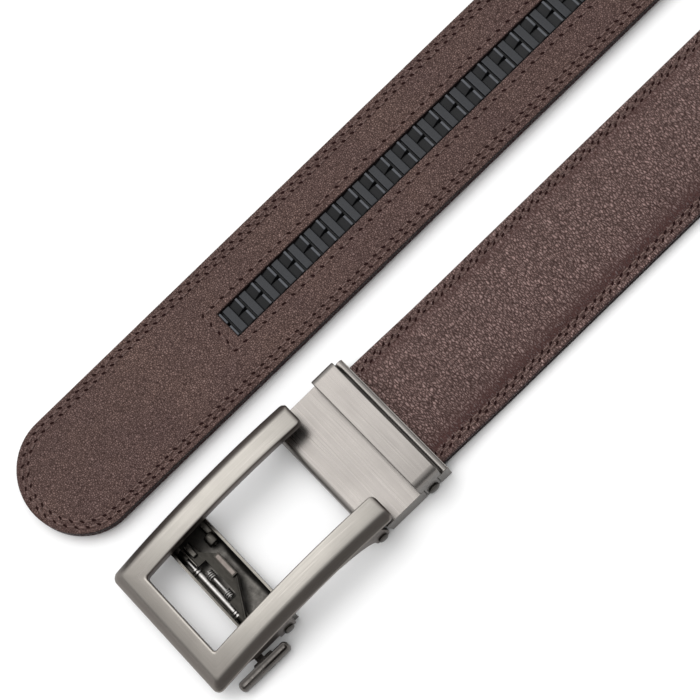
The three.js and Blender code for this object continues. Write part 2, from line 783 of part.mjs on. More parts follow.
// Ratchet tray: a channel across the buckle with end walls that hold the pawl's pin.
const neckRight = trayLeft - RUNNING_GAP;
const neckLeft = neckRight - NECK_LENGTH;
const cheekOuter = trayWallInner - RUNNING_GAP;
const cheekInner = cheekOuter - CHEEK_THICKNESS;

function pawlTray() {
  const floor = box(trayLeft, trayRight, -trayHalf, trayHalf, 0, TRAY_FLOOR);
  const left = box(trayLeft, trayLeft + TRAY_WALL, -trayHalf, trayHalf, 0, TRAY_HEIGHT);
  const right = box(trayRight - TRAY_WALL, trayRight, -trayHalf, trayHalf, 0, TRAY_HEIGHT);
  const ends = [
    box(trayLeft, trayRight, trayWallInner, trayHalf, 0, TRAY_HEIGHT),
    box(trayLeft, trayRight, -trayHalf, -trayWallInner, 0, TRAY_HEIGHT),
  ];
  const ribX = trayRight - TRAY_WALL - TRAY_RIB_BACK;
  const ribZ = TRAY_FLOOR + TRAY_RIB_LIFT;
  const ribs = [
    rodY(TRAY_RIB_RADIUS, ribX, ribZ, trayHalf - TRAY_RIB_LENGTH, trayHalf - TRAY_WALL),
    rodY(TRAY_RIB_RADIUS, ribX, ribZ, -trayHalf + TRAY_WALL, -trayHalf + TRAY_RIB_LENGTH / 2),
  ];
  const past = trayHalf + OVERCUT;
  const pinBore = rodY(PAWL_PIN_RADIUS + SEAT_GAP, pawlPinX, PAWL_PIN_HEIGHT, -past, past);
  const rivetBore = rodY(boreRadius, trayRivetX, TRAY_RIVET_HEIGHT, -past, past);
  const leverGap = box(
    trayLeft - OVERCUT,
    trayLeft + TRAY_WALL,
    -cheekOuter - RUNNING_GAP,
    -cheekInner + RUNNING_GAP,
    TRAY_FLOOR,
    TRAY_HEIGHT + OVERCUT,
  );
  return cut(join(floor, left, right, ...ends, ...ribs), pinBore, rivetBore, leverGap);
}

function pawlPin() {
  return rodY(PAWL_PIN_RADIUS, pawlPinX, PAWL_PIN_HEIGHT, -trayHalf, trayHalf);
}

function pawl() {
  const half = PAWL_WIDTH / 2;
  const plateTop = PAWL_UNDERSIDE + PAWL_THICKNESS;
  const outline = PAWL_PLATE.map(({ reach, across }) => [
    pawlPinX + reach * PAWL_REACH,
    PAWL_OFFSET + across * half,
  ]);
  const plate = upZ(shapeOf(outline.reverse()), PAWL_UNDERSIDE, plateTop);
  const toothRight = pawlPinX + PAWL_REACH;
  const tooth = box(
    toothRight - TOOTH_LENGTH,
    toothRight,
    TOOTH_ACROSS - TOOTH_WIDTH / 2,
    TOOTH_ACROSS + TOOTH_WIDTH / 2,
    PAWL_UNDERSIDE,
    plateTop + TOOTH_RISE,
  );
  const lugs = [
    [PAWL_OFFSET + half - PAWL_LUG_LENGTH, PAWL_OFFSET + half],
    [PAWL_OFFSET - half, PAWL_OFFSET - half + PAWL_LUG_LENGTH],
  ].map(([y0, y1]) =>
    join(
      rodY(PAWL_LUG_RADIUS, pawlPinX, PAWL_PIN_HEIGHT, y0, y1),
      box(pawlPinX, pawlPinX + PAWL_LUG_REACH, y0, y1, PAWL_PIN_HEIGHT, plateTop),
    ),
  );
  const bore = rodY(PAWL_PIN_RADIUS + SEAT_GAP, pawlPinX, PAWL_PIN_HEIGHT, -trayHalf, trayHalf);
  return cut(join(plate, tooth, ...lugs), bore);
}

// Torsion spring: two short coils on one rod, as a plain solid.
function torsionSpring() {
  const x = pawlPinX + SPRING_FROM_PIN;
  const half = SPRING_SPAN / 2;
  const coil = (y) => rodY(SPRING_RADIUS, x, SPRING_HEIGHT, y - SPRING_COIL / 2, y + SPRING_COIL / 2);
  return join(
    rodY(SPRING_ROD_RADIUS, x, SPRING_HEIGHT, SPRING_ACROSS - half, SPRING_ACROSS + half),
    coil(SPRING_ACROSS - half),
    coil(SPRING_ACROSS + half),
  );
}

// Release lever: a finger tab outside the near ear, joined under it to a cheek on the pawl's pin.
function releaseLever() {
  const tabInner = earOuter + HEAD_HEIGHT + TAB_CLEARANCE;
  const tabOuter = tabInner + TAB_WIDTH;
  const tabRight = pawlPinX + TAB_PAST_PIN;
  const tabLeft = tabRight - TAB_LENGTH;
  const tabTop = TAB_BOTTOM + TAB_HEIGHT;
  const plan = shapeOf([
    [tabLeft, -tabInner],
    [tabLeft, -tabInner - TAB_NOSE],
    [tabLeft + TAB_SLANT, -tabOuter],
    [tabRight - TAB_HEEL_SLANT, -tabOuter],
    [tabRight, -tabInner - TAB_HEEL],
    [tabRight - TAB_CORNER, -tabInner],
  ]);
  const tab = upZ(plan, TAB_BOTTOM, tabTop);
  const neckTop = TAB_BOTTOM + NECK_THICKNESS;
  const neck = box(neckLeft, neckRight, -tabInner - NECK_OVERLAP, -cheekInner, TAB_BOTTOM, neckTop);
  const cheek = join(
    rodY(PAWL_LUG_RADIUS, pawlPinX, PAWL_PIN_HEIGHT, -cheekOuter, -cheekInner),
    box(neckLeft, pawlPinX, -cheekOuter, -cheekInner, TAB_BOTTOM, neckTop),
  );
  const bore = rodY(PAWL_PIN_RADIUS + SEAT_GAP, pawlPinX, PAWL_PIN_HEIGHT, -trayHalf, 0);
  return cut(join(tab, neck, cheek), bore);
}

// Materials.
const leatherFront = new THREE.MeshStandardMaterial({ color: 0x5c433f, roughness: 0.55, metalness: 0 });
const leatherBack = new THREE.MeshStandardMaterial({ color: 0x5e4740, roughness: 0.7, metalness: 0 });
const plastic = new THREE.MeshStandardMaterial({ color: 0x2c2e31, roughness: 0.5, metalness: 0 });
const satinMetal = new THREE.MeshStandardMaterial({ color: 0xa9a39b, roughness: 0.35, metalness: 1 });
const darkMetal = new THREE.MeshStandardMaterial({ color: 0x45433f, roughness: 0.45, metalness: 1 });
const brightMetal = new THREE.MeshStandardMaterial({ color: 0xd0cdc8, roughness: 0.25, metalness: 1 });

function meshOf(name, solid, material) {
  const { numProp, vertProperties, triVerts } = solid.getMesh();
  const positions = [];
  for (let i = 0; i < vertProperties.length; i += numProp) {
    positions.push(vertProperties[i], vertProperties[i + 1], vertProperties[i + 2]);
  }
  const geometry = new THREE.BufferGeometry();
  geometry.setAttribute("position", new THREE.Float32BufferAttribute(positions, 3));
  geometry.setIndex(Array.from(triVerts));
  geometry.computeVertexNormals();
  const mesh = new THREE.Mesh(geometry, material);
  mesh.name = name;
  return mesh;
}

const belt = new THREE.Group();
const strap = new THREE.Group();
const clamp = new THREE.Group();
const buckle = new THREE.Group();
const release = new THREE.Group();
belt.add(strap, clamp, buckle);
buckle.add(release);

strap.add(
  meshOf("strap_front", cut(strapLayer(frontSection), recessCutter()), leatherFront),
  meshOf("strap_back", cut(strapLayer(backSection), slotCutter()), leatherBack),
  meshOf("ratchet_track", ratchetTrack(), plastic),
);

clamp.add(
  meshOf("clamp_body", clampBody(), satinMetal),
  meshOf("keeper_loop", keeperLoop(), satinMetal),
  meshOf("clamp_jaw", clampJaw(), darkMetal),
);
for (const [end, side] of [[-1, "near"], [1, "far"]]) {
  const keeperOuter = clampHalf + SEAT_GAP;
  const trayOuter = earOuter + SEAT_GAP;
  clamp.add(
    meshOf(
      `keeper_rivet_${side}`,
      rivet(keeperX, KEEPER_RIVET_HEIGHT, jawLugInner, keeperOuter, KEEPER_HEAD_RADIUS, end),
      darkMetal,
    ),
  );
  buckle.add(
    meshOf(
      `tray_rivet_${side}`,
      rivet(trayRivetX, TRAY_RIVET_HEIGHT, trayWallInner, trayOuter, TRAY_HEAD_RADIUS, end),
      darkMetal,
    ),
  );
}

buckle.add(
  meshOf("hinge_pin", hingePin(), darkMetal),
  meshOf("buckle_frame", buckleFrame(), satinMetal),
  meshOf("pawl_tray", pawlTray(), darkMetal),
  meshOf("pawl_pin", pawlPin(), brightMetal),
);

release.add(
  meshOf("pawl", pawl(), darkMetal),
  meshOf("torsion_spring", torsionSpring(), brightMetal),
  meshOf("release_lever", releaseLever(), darkMetal),
);

export default belt;
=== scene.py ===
import math

import bmesh
import bpy
import numpy as np
from mathutils import Matrix, Vector


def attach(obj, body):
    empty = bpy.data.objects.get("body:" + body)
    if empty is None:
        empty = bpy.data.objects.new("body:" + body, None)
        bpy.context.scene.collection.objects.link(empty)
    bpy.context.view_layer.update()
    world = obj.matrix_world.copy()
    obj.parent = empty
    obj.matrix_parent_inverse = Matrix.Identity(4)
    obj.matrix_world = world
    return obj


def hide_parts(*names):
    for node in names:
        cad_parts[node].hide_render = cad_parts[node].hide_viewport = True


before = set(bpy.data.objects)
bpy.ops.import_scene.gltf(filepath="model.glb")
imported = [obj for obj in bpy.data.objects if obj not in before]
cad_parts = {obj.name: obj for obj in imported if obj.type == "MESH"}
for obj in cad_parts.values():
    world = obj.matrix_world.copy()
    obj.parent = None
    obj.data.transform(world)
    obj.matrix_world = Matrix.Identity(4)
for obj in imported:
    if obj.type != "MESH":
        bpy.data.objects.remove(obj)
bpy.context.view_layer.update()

# ---------------------------------------------------------------- camera
# The camera looks down at the table from the near side, about twenty degrees off the vertical, and is
# rolled so that the strap runs from the lower left to the upper right of the picture.
CAMERA_TILT = math.radians(20.65)
CAMERA_AROUND = math.radians(-4.72)
CAMERA_ROLL = math.radians(42.59)
CAMERA_DISTANCE = 0.7538
CAMERA_AIM = Vector((-0.0267, 0.021, 0.003))
CAMERA_FOCAL_PIXELS = 3000
PICTURE_PIXELS = 700
SENSOR_WIDTH = 36.0

camera_data = bpy.data.cameras.new("camera")
camera_data.sensor_width = SENSOR_WIDTH
camera_data.lens = CAMERA_FOCAL_PIXELS / PICTURE_PIXELS * SENSOR_WIDTH
camera_data.clip_end = 20.0
camera = bpy.data.objects.new("camera", camera_data)
bpy.context.scene.collection.objects.link(camera)
towards_camera = Vector((
    math.sin(CAMERA_TILT) * math.sin(CAMERA_AROUND),
    -math.sin(CAMERA_TILT) * math.cos(CAMERA_AROUND),
    math.cos(CAMERA_TILT),
))
camera_right = Vector((math.sin(CAMERA_ROLL), math.cos(CAMERA_ROLL), 0)).cross(towards_camera).normalized()
camera_up = towards_camera.cross(camera_right)
camera.matrix_world = Matrix.Translation(CAMERA_AIM + CAMERA_DISTANCE * towards_camera) @ Matrix(
    (camera_right, camera_up, towards_camera)).transposed().to_4x4()
bpy.context.scene.camera = camera
bpy.context.scene.view_settings.view_transform = "Standard"

# ---------------------------------------------------------------- table and light
# A plain white table top in a white studio that is brightest high on the far side and darker low down,
# with one large soft panel up there too.
FLOOR_HALF = 6.0
FLOOR_DROP = 0.0002
BRIGHT_SIDE = (-0.05, 0.44, 0.9)
KEY_PLACE = Vector((-0.2, 0.55, 1.12))
KEY_SIZE = 0.76
KEY_POWER = 4


def wire(node, wires):
    """Gives a node's inputs, by name or number, an output that feeds them or a value."""
    for key, value in wires.items():
        if isinstance(value, bpy.types.NodeSocket):
            node.id_data.links.new(value, node.inputs[key])
        else:
            node.inputs[key].default_value = value


def add_node(tree, kind, wires=(), **settings):
    """A new node of a tree with its settings and its wires."""
    node = tree.nodes.new(kind)
    for key, value in settings.items():
        setattr(node, key, value)
    wire(node, dict(wires))
    return node


def ranged(tree, value, from_min, from_max, to_min=0.0, to_max=1.0, shape="LINEAR"):
    """A value carried over from one range to another and held inside it."""
    return add_node(tree, "ShaderNodeMapRange", {
        "Value": value, "From Min": from_min, "From Max": from_max, "To Min": to_min, "To Max": to_max,
    }, interpolation_type=shape).outputs["Result"]


def new_material(name):
    """A material with its node tree and its shader."""
    material = bpy.data.materials.new(name)
    material.use_nodes = True
    return material, material.node_tree, material.node_tree.nodes["Principled BSDF"]


floor_mesh = bpy.data.meshes.new("table_top")
floor_corners = [(x * FLOOR_HALF, y * FLOOR_HALF, 0) for x, y in ((-1, -1), (1, -1), (1, 1), (-1, 1))]
floor_mesh.from_pydata(floor_corners, [], [(0, 1, 2, 3)])
floor = bpy.data.objects.new("table_top", floor_mesh)
floor.location.z = -FLOOR_DROP
bpy.context.scene.collection.objects.link(floor)
floor_paint, _, floor_shader = new_material("table_paint")
wire(floor_shader, {"Base Color": (0.93, 0.93, 0.93, 1), "Roughness": 0.8})
floor_mesh.materials.append(floor_paint)

surround = bpy.data.worlds.new("studio")
surround.use_nodes = True
sky = surround.node_tree
sky_way = add_node(sky, "ShaderNodeTexCoord").outputs["Generated"]
sky_facing = add_node(sky, "ShaderNodeVectorMath", {0: sky_way, 1: BRIGHT_SIDE}, operation="DOT_PRODUCT")
sky_strength = ranged(sky, sky_facing.outputs["Value"], 0.1, 0.95, 0.4, 1.5, shape="SMOOTHSTEP")
wire(sky.nodes["Background"], {"Color": (1, 1, 1, 1), "Strength": sky_strength})
bpy.context.scene.world = surround

key_data = bpy.data.lights.new("key_panel", "AREA")
key_data.size = KEY_SIZE
key_data.energy = KEY_POWER
key_panel = bpy.data.objects.new("key_panel", key_data)
key_panel.location = KEY_PLACE
key_panel.rotation_euler = (CAMERA_AIM - KEY_PLACE).to_track_quat("-Z", "Y").to_euler()
bpy.context.scene.collection.objects.link(key_panel)

# ---------------------------------------------------------------- how the strap lies
# The strap is 1250 mm long and 35 mm wide. From the clamp it runs flat along +X, rolls over in one
# bend, and comes back beside itself face down. Lengths are measured from its clamped end.
STRAP_LENGTH = 1250.0
STRAP_HALF = 17.5
CLAMPED_END_X = -48.0
LIP_X = -30.0
STRAP_LIFT = 1.0
LIFT_RUN = 25.0
BUCKLE_SEAM_Z = 1.45
RUN_SPACING = 48.6
BEND_X = 448.7277
BEND_DESCENT = math.radians(26)
BEND_LEAN = 0.557078
ROLL_RADIUS = 36
LANDING_RADIUS = 110
SLOPE_LENGTH = 101.0024
TIP_LENGTH = 16.0
BEND_SAMPLES = 3701
SLANT_SAMPLES = 801
SLANT_TRIES = 14
TURN_STEP = 1e-4
RULING_STEP = 1e-3

# An eased turn takes 1.5 times the length of a round one with the radius of its tightest place.
ROLL_LENGTH = 1.5 * (math.pi + BEND_DESCENT) * ROLL_RADIUS
LANDING_LENGTH = 1.5 * BEND_DESCENT * LANDING_RADIUS
bend_start = BEND_X - CLAMPED_END_X
bend_length = ROLL_LENGTH + SLOPE_LENGTH + LANDING_LENGTH


def eased(share):
    """Smooth step: 3 f^2 - 2 f^3 with f the share held between 0 and 1."""
    f = np.clip(share, 0, 1)
    return f * f * (3 - 2 * f)


def pitch_along_bend(t):
    """The strap's pitch at a length t into the bend: up to half a turn and the descent, then back."""
    rolling = (math.pi + BEND_DESCENT) * eased(t / ROLL_LENGTH)
    landing = (t - ROLL_LENGTH - SLOPE_LENGTH) / LANDING_LENGTH
    return rolling - BEND_DESCENT * eased(landing)


def heading_of(u):
    """Unit vector along the strap at pitch u; it leans sideways by BEND_LEAN times sin(u)."""
    tilt = BEND_LEAN * np.sin(u)
    return np.stack([np.cos(u), np.sin(u) * np.sin(tilt), np.sin(u) * np.cos(tilt)], -1)


def facing_of(u):
    """Unit vector out of the padded face: the change of the heading with the pitch."""
    turn = heading_of(u + TURN_STEP) - heading_of(u - TURN_STEP)
    return turn / np.linalg.norm(turn, axis=-1, keepdims=True)


bend_t = np.linspace(0, bend_length, BEND_SAMPLES)
bend_steps = heading_of(pitch_along_bend((bend_t[1:] + bend_t[:-1]) / 2)) * (bend_t[1] - bend_t[0])
bend_path = np.vstack([np.zeros(3), np.cumsum(bend_steps, axis=0)])


def ruling_of(u):
    """Line of the strap that stays straight at pitch u, face x d(face)/du, one unit across the strap."""
    heading, face = heading_of(u), facing_of(u)
    ruling = np.cross(face, facing_of(u + RULING_STEP) - facing_of(u - RULING_STEP))
    return ruling / np.sum(ruling * np.cross(face, heading), axis=-1, keepdims=True)


slant_t = np.linspace(0, bend_length, SLANT_SAMPLES)
slant_u = pitch_along_bend(slant_t)
slants = np.sum(ruling_of(slant_u) * heading_of(slant_u), axis=-1)


def strap_place(s, v, n):
    """Point at length s, v across and n out of the seam, in mm. In the bend it lies on the ruling that
    leaves the middle line at t, where t + v * slant(t) = s: middle line + v * ruling + n * facing."""
    s, v, n = np.broadcast_arrays(np.asarray(s, float), v, n)
    t = s - bend_start
    line = t
    for _ in range(SLANT_TRIES):
        line = t - v * np.interp(line, slant_t, slants)
    before, after = line <= 0, line >= bend_length
    line = np.clip(line, 0, bend_length)
    u = pitch_along_bend(line)
    middle = np.stack([np.interp(line, bend_t, bend_path[:, axis]) for axis in range(3)], -1)
    middle = middle + np.array([BEND_X, 0, BUCKLE_SEAM_Z])
    middle[..., 0] += np.where(before, t, 0) - np.where(after, t - bend_length, 0)
    lifted = 1 - eased((CLAMPED_END_X + s - LIP_X) / LIFT_RUN)
    middle[..., 2] += STRAP_LIFT * lifted * before
    ruling = np.where((before | after)[..., None], np.array([0.0, 1.0, 0.0]), ruling_of(u))
    return middle + v[..., None] * ruling + n[..., None] * facing_of(u)


def half_width(s):
    """Half the strap's width, narrowing to the tip as a half ellipse over the TIP_LENGTH."""
    past = np.clip((np.asarray(s) - (STRAP_LENGTH - TIP_LENGTH)) / TIP_LENGTH, 0, 0.9999)
    return STRAP_HALF * np.sqrt(1 - past * past)


def length_at_tail(x):
    """The length s at which the tail run passes x, the run that lies face down beside the buckle's."""
    return bend_start + bend_length + BEND_X + bend_path[-1, 0] - np.asarray(x, float)


# ---------------------------------------------------------------- leather finish
# Grain that both leathers share: small pebbles with creases between them, fine wrinkles over both, and
# broad soft mottling. Shares say how far each of them changes the tone and the gloss. The creases take a
# painted shade, the wrinkles a grain tone with painted highlight and shade in it, and the sewn margins a
# painted shade.
GRAIN_WARP = 0.0012
WRINKLE_TONE_AND_SHADE = 0.3
WRINKLE_TONE_AND_HIGHLIGHT = 0.38
CREASE_SHADE_SHARE = 0.8
CREASE_DULLING = 0.65
CREASE_SHADE_TONE = 0.22
MARGIN_SHADE_SHARE = 0.65
MARGIN_SHADE_TONES = (0.4, 0.32, 0.32)
CREASE_ROUGHER = 0.25


def node_group(name, inputs, outputs):
    """An empty shader node group; inputs are a label, a socket kind and a value, outputs labels of floats."""
    group = bpy.data.node_groups.new(name, "ShaderNodeTree")
    for label, kind, value in inputs:
        socket = group.interface.new_socket(name=label, in_out="INPUT", socket_type=kind)
        if value is not None:
            socket.default_value = value
    for label in outputs:
        group.interface.new_socket(name=label, in_out="OUTPUT", socket_type="NodeSocketFloat")
    return group, group.nodes.new("NodeGroupInput").outputs, group.nodes.new("NodeGroupOutput")


def noise(tree, place, scale, detail, roughness=0.5, output="Fac"):
    """Noise that changes about scale times in a metre."""
    return add_node(tree, "ShaderNodeTexNoise", {
        "Vector": place, "Scale": scale, "Detail": detail, "Roughness": roughness}).outputs[output]


def product(tree, first, second):
    """One value times another."""
    return add_node(tree, "ShaderNodeMath", {0: first, 1: second}, operation="MULTIPLY").outputs[0]


def mixed(tree, share, first, second, blend_type="MIX"):
    """A colour between two by share; one that is given is a tone of red, green and blue."""
    first, second = ((*c, 1) if isinstance(c, tuple) else c for c in (first, second))
    return add_node(
        tree, "ShaderNodeMix", {0: share, 6: first, 7: second},
        data_type="RGBA", blend_type=blend_type).outputs[2]


def attribute(tree, name):
    """The values that a mesh carries at its points under a name."""
    return add_node(tree, "ShaderNodeAttribute", attribute_name=name).outputs["Fac"]


def object_place(tree):
    """The point on the piece in metres."""
    return add_node(tree, "ShaderNodeTexCoord").outputs["Object"]


def bumped(tree, height, depth, strength=1.0):
    """Normals of a relief of a height, depth metres deep."""
    return add_node(
        tree, "ShaderNodeBump", {"Height": height, "Distance": depth, "Strength": strength}).outputs["Normal"]


grain, grain_in, grain_out = node_group(
    "leather_grain", [("Place", "NodeSocketVector", None), ("Cells", "NodeSocketFloat", 1400.0)],
    ("Pebble", "Crease", "Wrinkle", "Mottle"))
warp = noise(grain, grain_in["Place"], 500.0, 2.0, output="Color")
warp_by = add_node(grain, "ShaderNodeVectorMath", {0: warp, 1: (GRAIN_WARP,) * 3}, operation="MULTIPLY")
warped = add_node(
    grain, "ShaderNodeVectorMath", {0: grain_in["Place"], 1: warp_by.outputs[0]}, operation="ADD").outputs[0]
to_edge = add_node(
    grain, "ShaderNodeTexVoronoi", {"Vector": warped, "Scale": grain_in["Cells"]},
    feature="DISTANCE_TO_EDGE").outputs["Distance"]
grain_parts = {
    "Pebble": ranged(grain, to_edge, 0, 0.36, shape="SMOOTHSTEP"),
    "Crease": ranged(grain, to_edge, 0, 0.25, 1.0, 0.0),
    "Wrinkle": noise(grain, warped, product(grain, grain_in["Cells"], 1.1), 3.0, 0.7),
    "Mottle": noise(grain, grain_in["Place"], 60.0, 5.0, 0.6),
}
wire(grain_out, grain_parts)


def leather(name, light, dark, edge_paint, cells, stretch, contrast, depth, roughness, gloss):
    """Dyed leather: mottled between two tones, lighter and glossier on its wrinkles (grain tone with painted
    highlight and shade in it), with painted shade and duller gloss in the creases by contrast, painted shade
    along the sewn margins, and edge paint where the attribute rim is high; stretch is how much closer the
    grain lies along each axis, and depth its relief in metres."""
    material, tree, shader = new_material(name)
    stretched = add_node(tree, "ShaderNodeMapping", {"Vector": object_place(tree), "Scale": stretch})
    texture = add_node(
        tree, "ShaderNodeGroup", {"Place": stretched.outputs[0], "Cells": cells}, node_tree=grain).outputs
    tones = mixed(tree, ranged(tree, texture["Mottle"], 0.3, 0.7), dark, light)
    # The wrinkles' tone: grain tone with painted highlight and shade in it.
    wrinkle_tone_and_light = ranged(
        tree, texture["Wrinkle"], 0.36, 0.64, 1 - WRINKLE_TONE_AND_SHADE * contrast, 1 + WRINKLE_TONE_AND_HIGHLIGHT * contrast)
    wrinkle_lit_tones = mixed(tree, 1.0, tones, wrinkle_tone_and_light, blend_type="MULTIPLY")
    # Painted shade in the creases.
    crease_shade_share = product(tree, texture["Crease"], min(CREASE_SHADE_SHARE * contrast, 1))
    crease_shaded = mixed(tree, crease_shade_share, wrinkle_lit_tones, tuple(CREASE_SHADE_TONE * c for c in dark))
    # Painted shade along the sewn margins, where the sewn attribute is high.
    margin_shade_tone = tuple(c * share for c, share in zip(dark, MARGIN_SHADE_TONES))
    pressed = mixed(tree, product(tree, attribute(tree, "sewn"), MARGIN_SHADE_SHARE), crease_shaded, margin_shade_tone)
    painted = mixed(tree, attribute(tree, "rim"), pressed, edge_paint)
    rougher_or_highlit = ranged(tree, texture["Pebble"], 0, 1, min(roughness + CREASE_ROUGHER, 1), roughness)
    relief = add_node(
        tree, "ShaderNodeMath", {0: texture["Pebble"], 1: 0.6, 2: texture["Wrinkle"]},
        operation="MULTIPLY_ADD")
    lit = ranged(tree, texture["Crease"], 0, 1, gloss, gloss * (1 - CREASE_DULLING * contrast))
    wire(shader, {
        "Base Color": painted, "Roughness": rougher_or_highlit, "Specular IOR Level": product(tree, lit, wrinkle_tone_and_light),
        "Normal": bumped(tree, relief.outputs[0], depth)})
    return material


# ---------------------------------------------------------------- front leather
# The padded face of the strap: pebbled dark brown leather, skived thin at its margins where two rows of
# stitches hold it to the back, and raised by a filler along the middle.
FRONT_EDGE = 1.2
PADDING = 1.2
PAD_FROM_EDGE = 3.0
PAD_RUN = 10.0
PAD_FULLNESS = 2.8
NEAR_SIDE = -1
SEAM_HALF = 0.15
STITCH_ROWS = (1.8, 2.85)
STITCH_PITCH = 3.05
GROOVE_DEPTH = 0.13
GROOVE_HALF = 0.38
EDGE_ROUND = 0.4
RIM_WIDTH = 0.3
UNDER_GAP = 0.02
STATION_STEP = 1.1
TIP_STATIONS = 25
# The margin's painted shade: full where a groove is SHADE_DEPTH deep, and softer at the foot of the padding
# and up its near slope; places are in from the strap's edge.
SHADE_DEPTH = 0.16
FOOT_PLACE, FOOT_FADE, FOOT_SHADE = 4.1, 1.1, 0.75
SLOPE_PLACE, SLOPE_FADE, SLOPE_SHADE = 4.2, 2.9, 0.95
SLOPE_FROM = 3.3
# Places of the mesh's columns, in from the strap's edge.
MARGIN_COLUMNS = (
    0, 0.12, 0.3, 0.7, 1.2, 1.5, 1.8, 2.1, 2.33, 2.55, 2.85, 3.15, 3.6, 4.4, 5.6, 7.2, 9.2, 11.6, 14.4)

front_leather = leather(
    "front_leather", (0.194, 0.118, 0.106), (0.162, 0.097, 0.087), (0.03, 0.010, 0.011),
    cells=1380.0, stretch=(1.4, 0.58, 1.0), contrast=1.52, depth=0.0003, roughness=0.34, gloss=0.46)


def dressed(mesh, name, material, body, replaces, sharp_deg):
    """A piece of a mesh, smooth but for edges sharper than sharp_deg, on its body and with its material."""
    mesh.polygons.foreach_set("use_smooth", np.ones(len(mesh.polygons), bool))
    mesh.set_sharp_from_angle(angle=math.radians(sharp_deg))
    mesh.materials.clear()
    mesh.materials.append(material)
    piece = bpy.data.objects.new(name, mesh)
    bpy.context.scene.collection.objects.link(piece)
    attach(piece, body)
    if replaces:
        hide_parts(*replaces)
    return piece


def piece_from(
        name, points, faces, material, body, replaces=(), sharp_deg=35, attributes=None, uv=None):
    """A mesh piece from points in mm and faces as index rows, with its normals made to point outwards;
    attributes are values at the points, uv a pair at each point."""
    mesh = bpy.data.meshes.new(name)
    mesh.from_pydata((np.asarray(points, float).reshape(-1, 3) * 0.001).tolist(), [], faces)
    for key, values in (attributes or {}).items():
        layer = mesh.attributes.new(key, "FLOAT", "POINT")
        layer.data.foreach_set("value", np.asarray(values, np.float32).ravel())
    if uv is not None:
        corners = np.empty(len(mesh.loops), np.int32)
        mesh.loops.foreach_get("vertex_index", corners)
        layer = mesh.uv_layers.new(name="along_and_across")
        layer.data.foreach_set("uv", np.asarray(uv, np.float32).reshape(-1, 2)[corners].ravel())
    shell = bmesh.new()
    shell.from_mesh(mesh)
    bmesh.ops.remove_doubles(shell, verts=shell.verts, dist=1e-7)
    bmesh.ops.recalc_face_normals(shell, faces=shell.faces)
    shell.to_mesh(mesh)
    shell.free()
    return dressed(mesh, name, material, body, replaces, sharp_deg)


def grid_faces(rows, columns, first=0, wrap=False, skip=None):
    """Quads of a grid of points numbered along its rows; wrap joins the last column to the first, and
    skip is a mask of the cells that are left open."""
    i, j = np.meshgrid(np.arange(rows - 1), np.arange(columns if wrap else columns - 1), indexing="ij")
    if skip is not None:
        i, j = i[~skip], j[~skip]
    i, j = i.ravel(), j.ravel()
    k = (j + 1) % columns
    a, b = first + i * columns + j, first + i * columns + k
    return np.stack([a, b, b + columns, a + columns], -1).tolist()


def end_caps(rows, columns, first=0):
    """The first and the last row of a grid of points, each as one face."""
    return [[first + row * columns + column for column in range(columns)] for row in (0, rows - 1)]


def shares_across(columns):
    """Places across the strap as shares of its half width, from places in from its edge."""
    shares = np.array(columns) / STRAP_HALF
    return np.concatenate([shares - 1, [0], 1 - shares[::-1]])


def underside(s, v, facing):
    """The hidden side of a layer, just off the seam, and a little further off at the strap's edges."""
    at_edge = np.abs(v) > half_width(s) - 0.05
    return strap_place(s, v, facing * np.where(at_edge, SEAM_HALF + 0.2, UNDER_GAP))


def hump(distance, half):
    """1 at no distance, fading out smoothly: exp(-(distance / half)^2)."""
    return np.exp(-((distance / half) ** 2))


def stitch_dip(from_edge, stitch_rows):
    """How far thread pulls the leather down: a soft groove along each row of stitches."""
    return sum(GROOVE_DEPTH * hump(from_edge - row, GROOVE_HALF) for row in stitch_rows)


def rounded_edge(from_edge, radius):
    """Drop of a surface towards its rounded edge: a quarter circle over the last radius."""
    inside = np.clip(radius - from_edge, 0, radius)
    return radius - np.sqrt(radius * radius - inside * inside)


across_shares = shares_across(MARGIN_COLUMNS)
stations = np.arange(0, STRAP_LENGTH - TIP_LENGTH, STATION_STEP)
around_tip = np.linspace(0, math.pi / 2, TIP_STATIONS + 1)[:-1]
tip_stations = STRAP_LENGTH - TIP_LENGTH * (1 - np.sin(around_tip))
stations = np.concatenate([stations, tip_stations, [STRAP_LENGTH - 0.05]])
s_grid = stations[:, None]
v_grid = half_width(s_grid) * across_shares
from_edge = (half_width(s_grid) - np.abs(v_grid)) * np.ones_like(s_grid)
width_share = half_width(s_grid) / STRAP_HALF
pad_share = np.clip((from_edge - PAD_FROM_EDGE) / (STRAP_HALF - PAD_FROM_EDGE), 0, 1)
pad_run = eased((CLAMPED_END_X + s_grid - LIP_X) / PAD_RUN)
pad_rise = PADDING * width_share ** 2 * pad_run * (1 - (1 - pad_share) ** PAD_FULLNESS)
front_grooves = stitch_dip(from_edge, STITCH_ROWS)
front_top = SEAM_HALF + FRONT_EDGE + pad_rise - front_grooves * pad_run - rounded_edge(from_edge, EDGE_ROUND)
top_points = strap_place(s_grid, v_grid, front_top)

under_columns = (0, 2, 12, len(across_shares) // 2, -13, -3, -1)
under_points = underside(s_grid, v_grid[:, under_columns], 1)
rows, columns, under = len(stations), len(across_shares), len(under_columns)
ring = np.concatenate([top_points, under_points[:, ::-1]], axis=1)
rim = np.zeros(ring.shape[:2])
rim[:, :columns] = np.clip(1 - from_edge / RIM_WIDTH, 0, 1)
rim[:, columns:] = 1
near_slope = (np.sign(v_grid) == NEAR_SIDE) * (from_edge > SLOPE_FROM)
slope_shade = SLOPE_SHADE * near_slope * hump(np.maximum(from_edge - SLOPE_PLACE, 0), SLOPE_FADE)
foot_shade = FOOT_SHADE * hump(from_edge - FOOT_PLACE, FOOT_FADE)
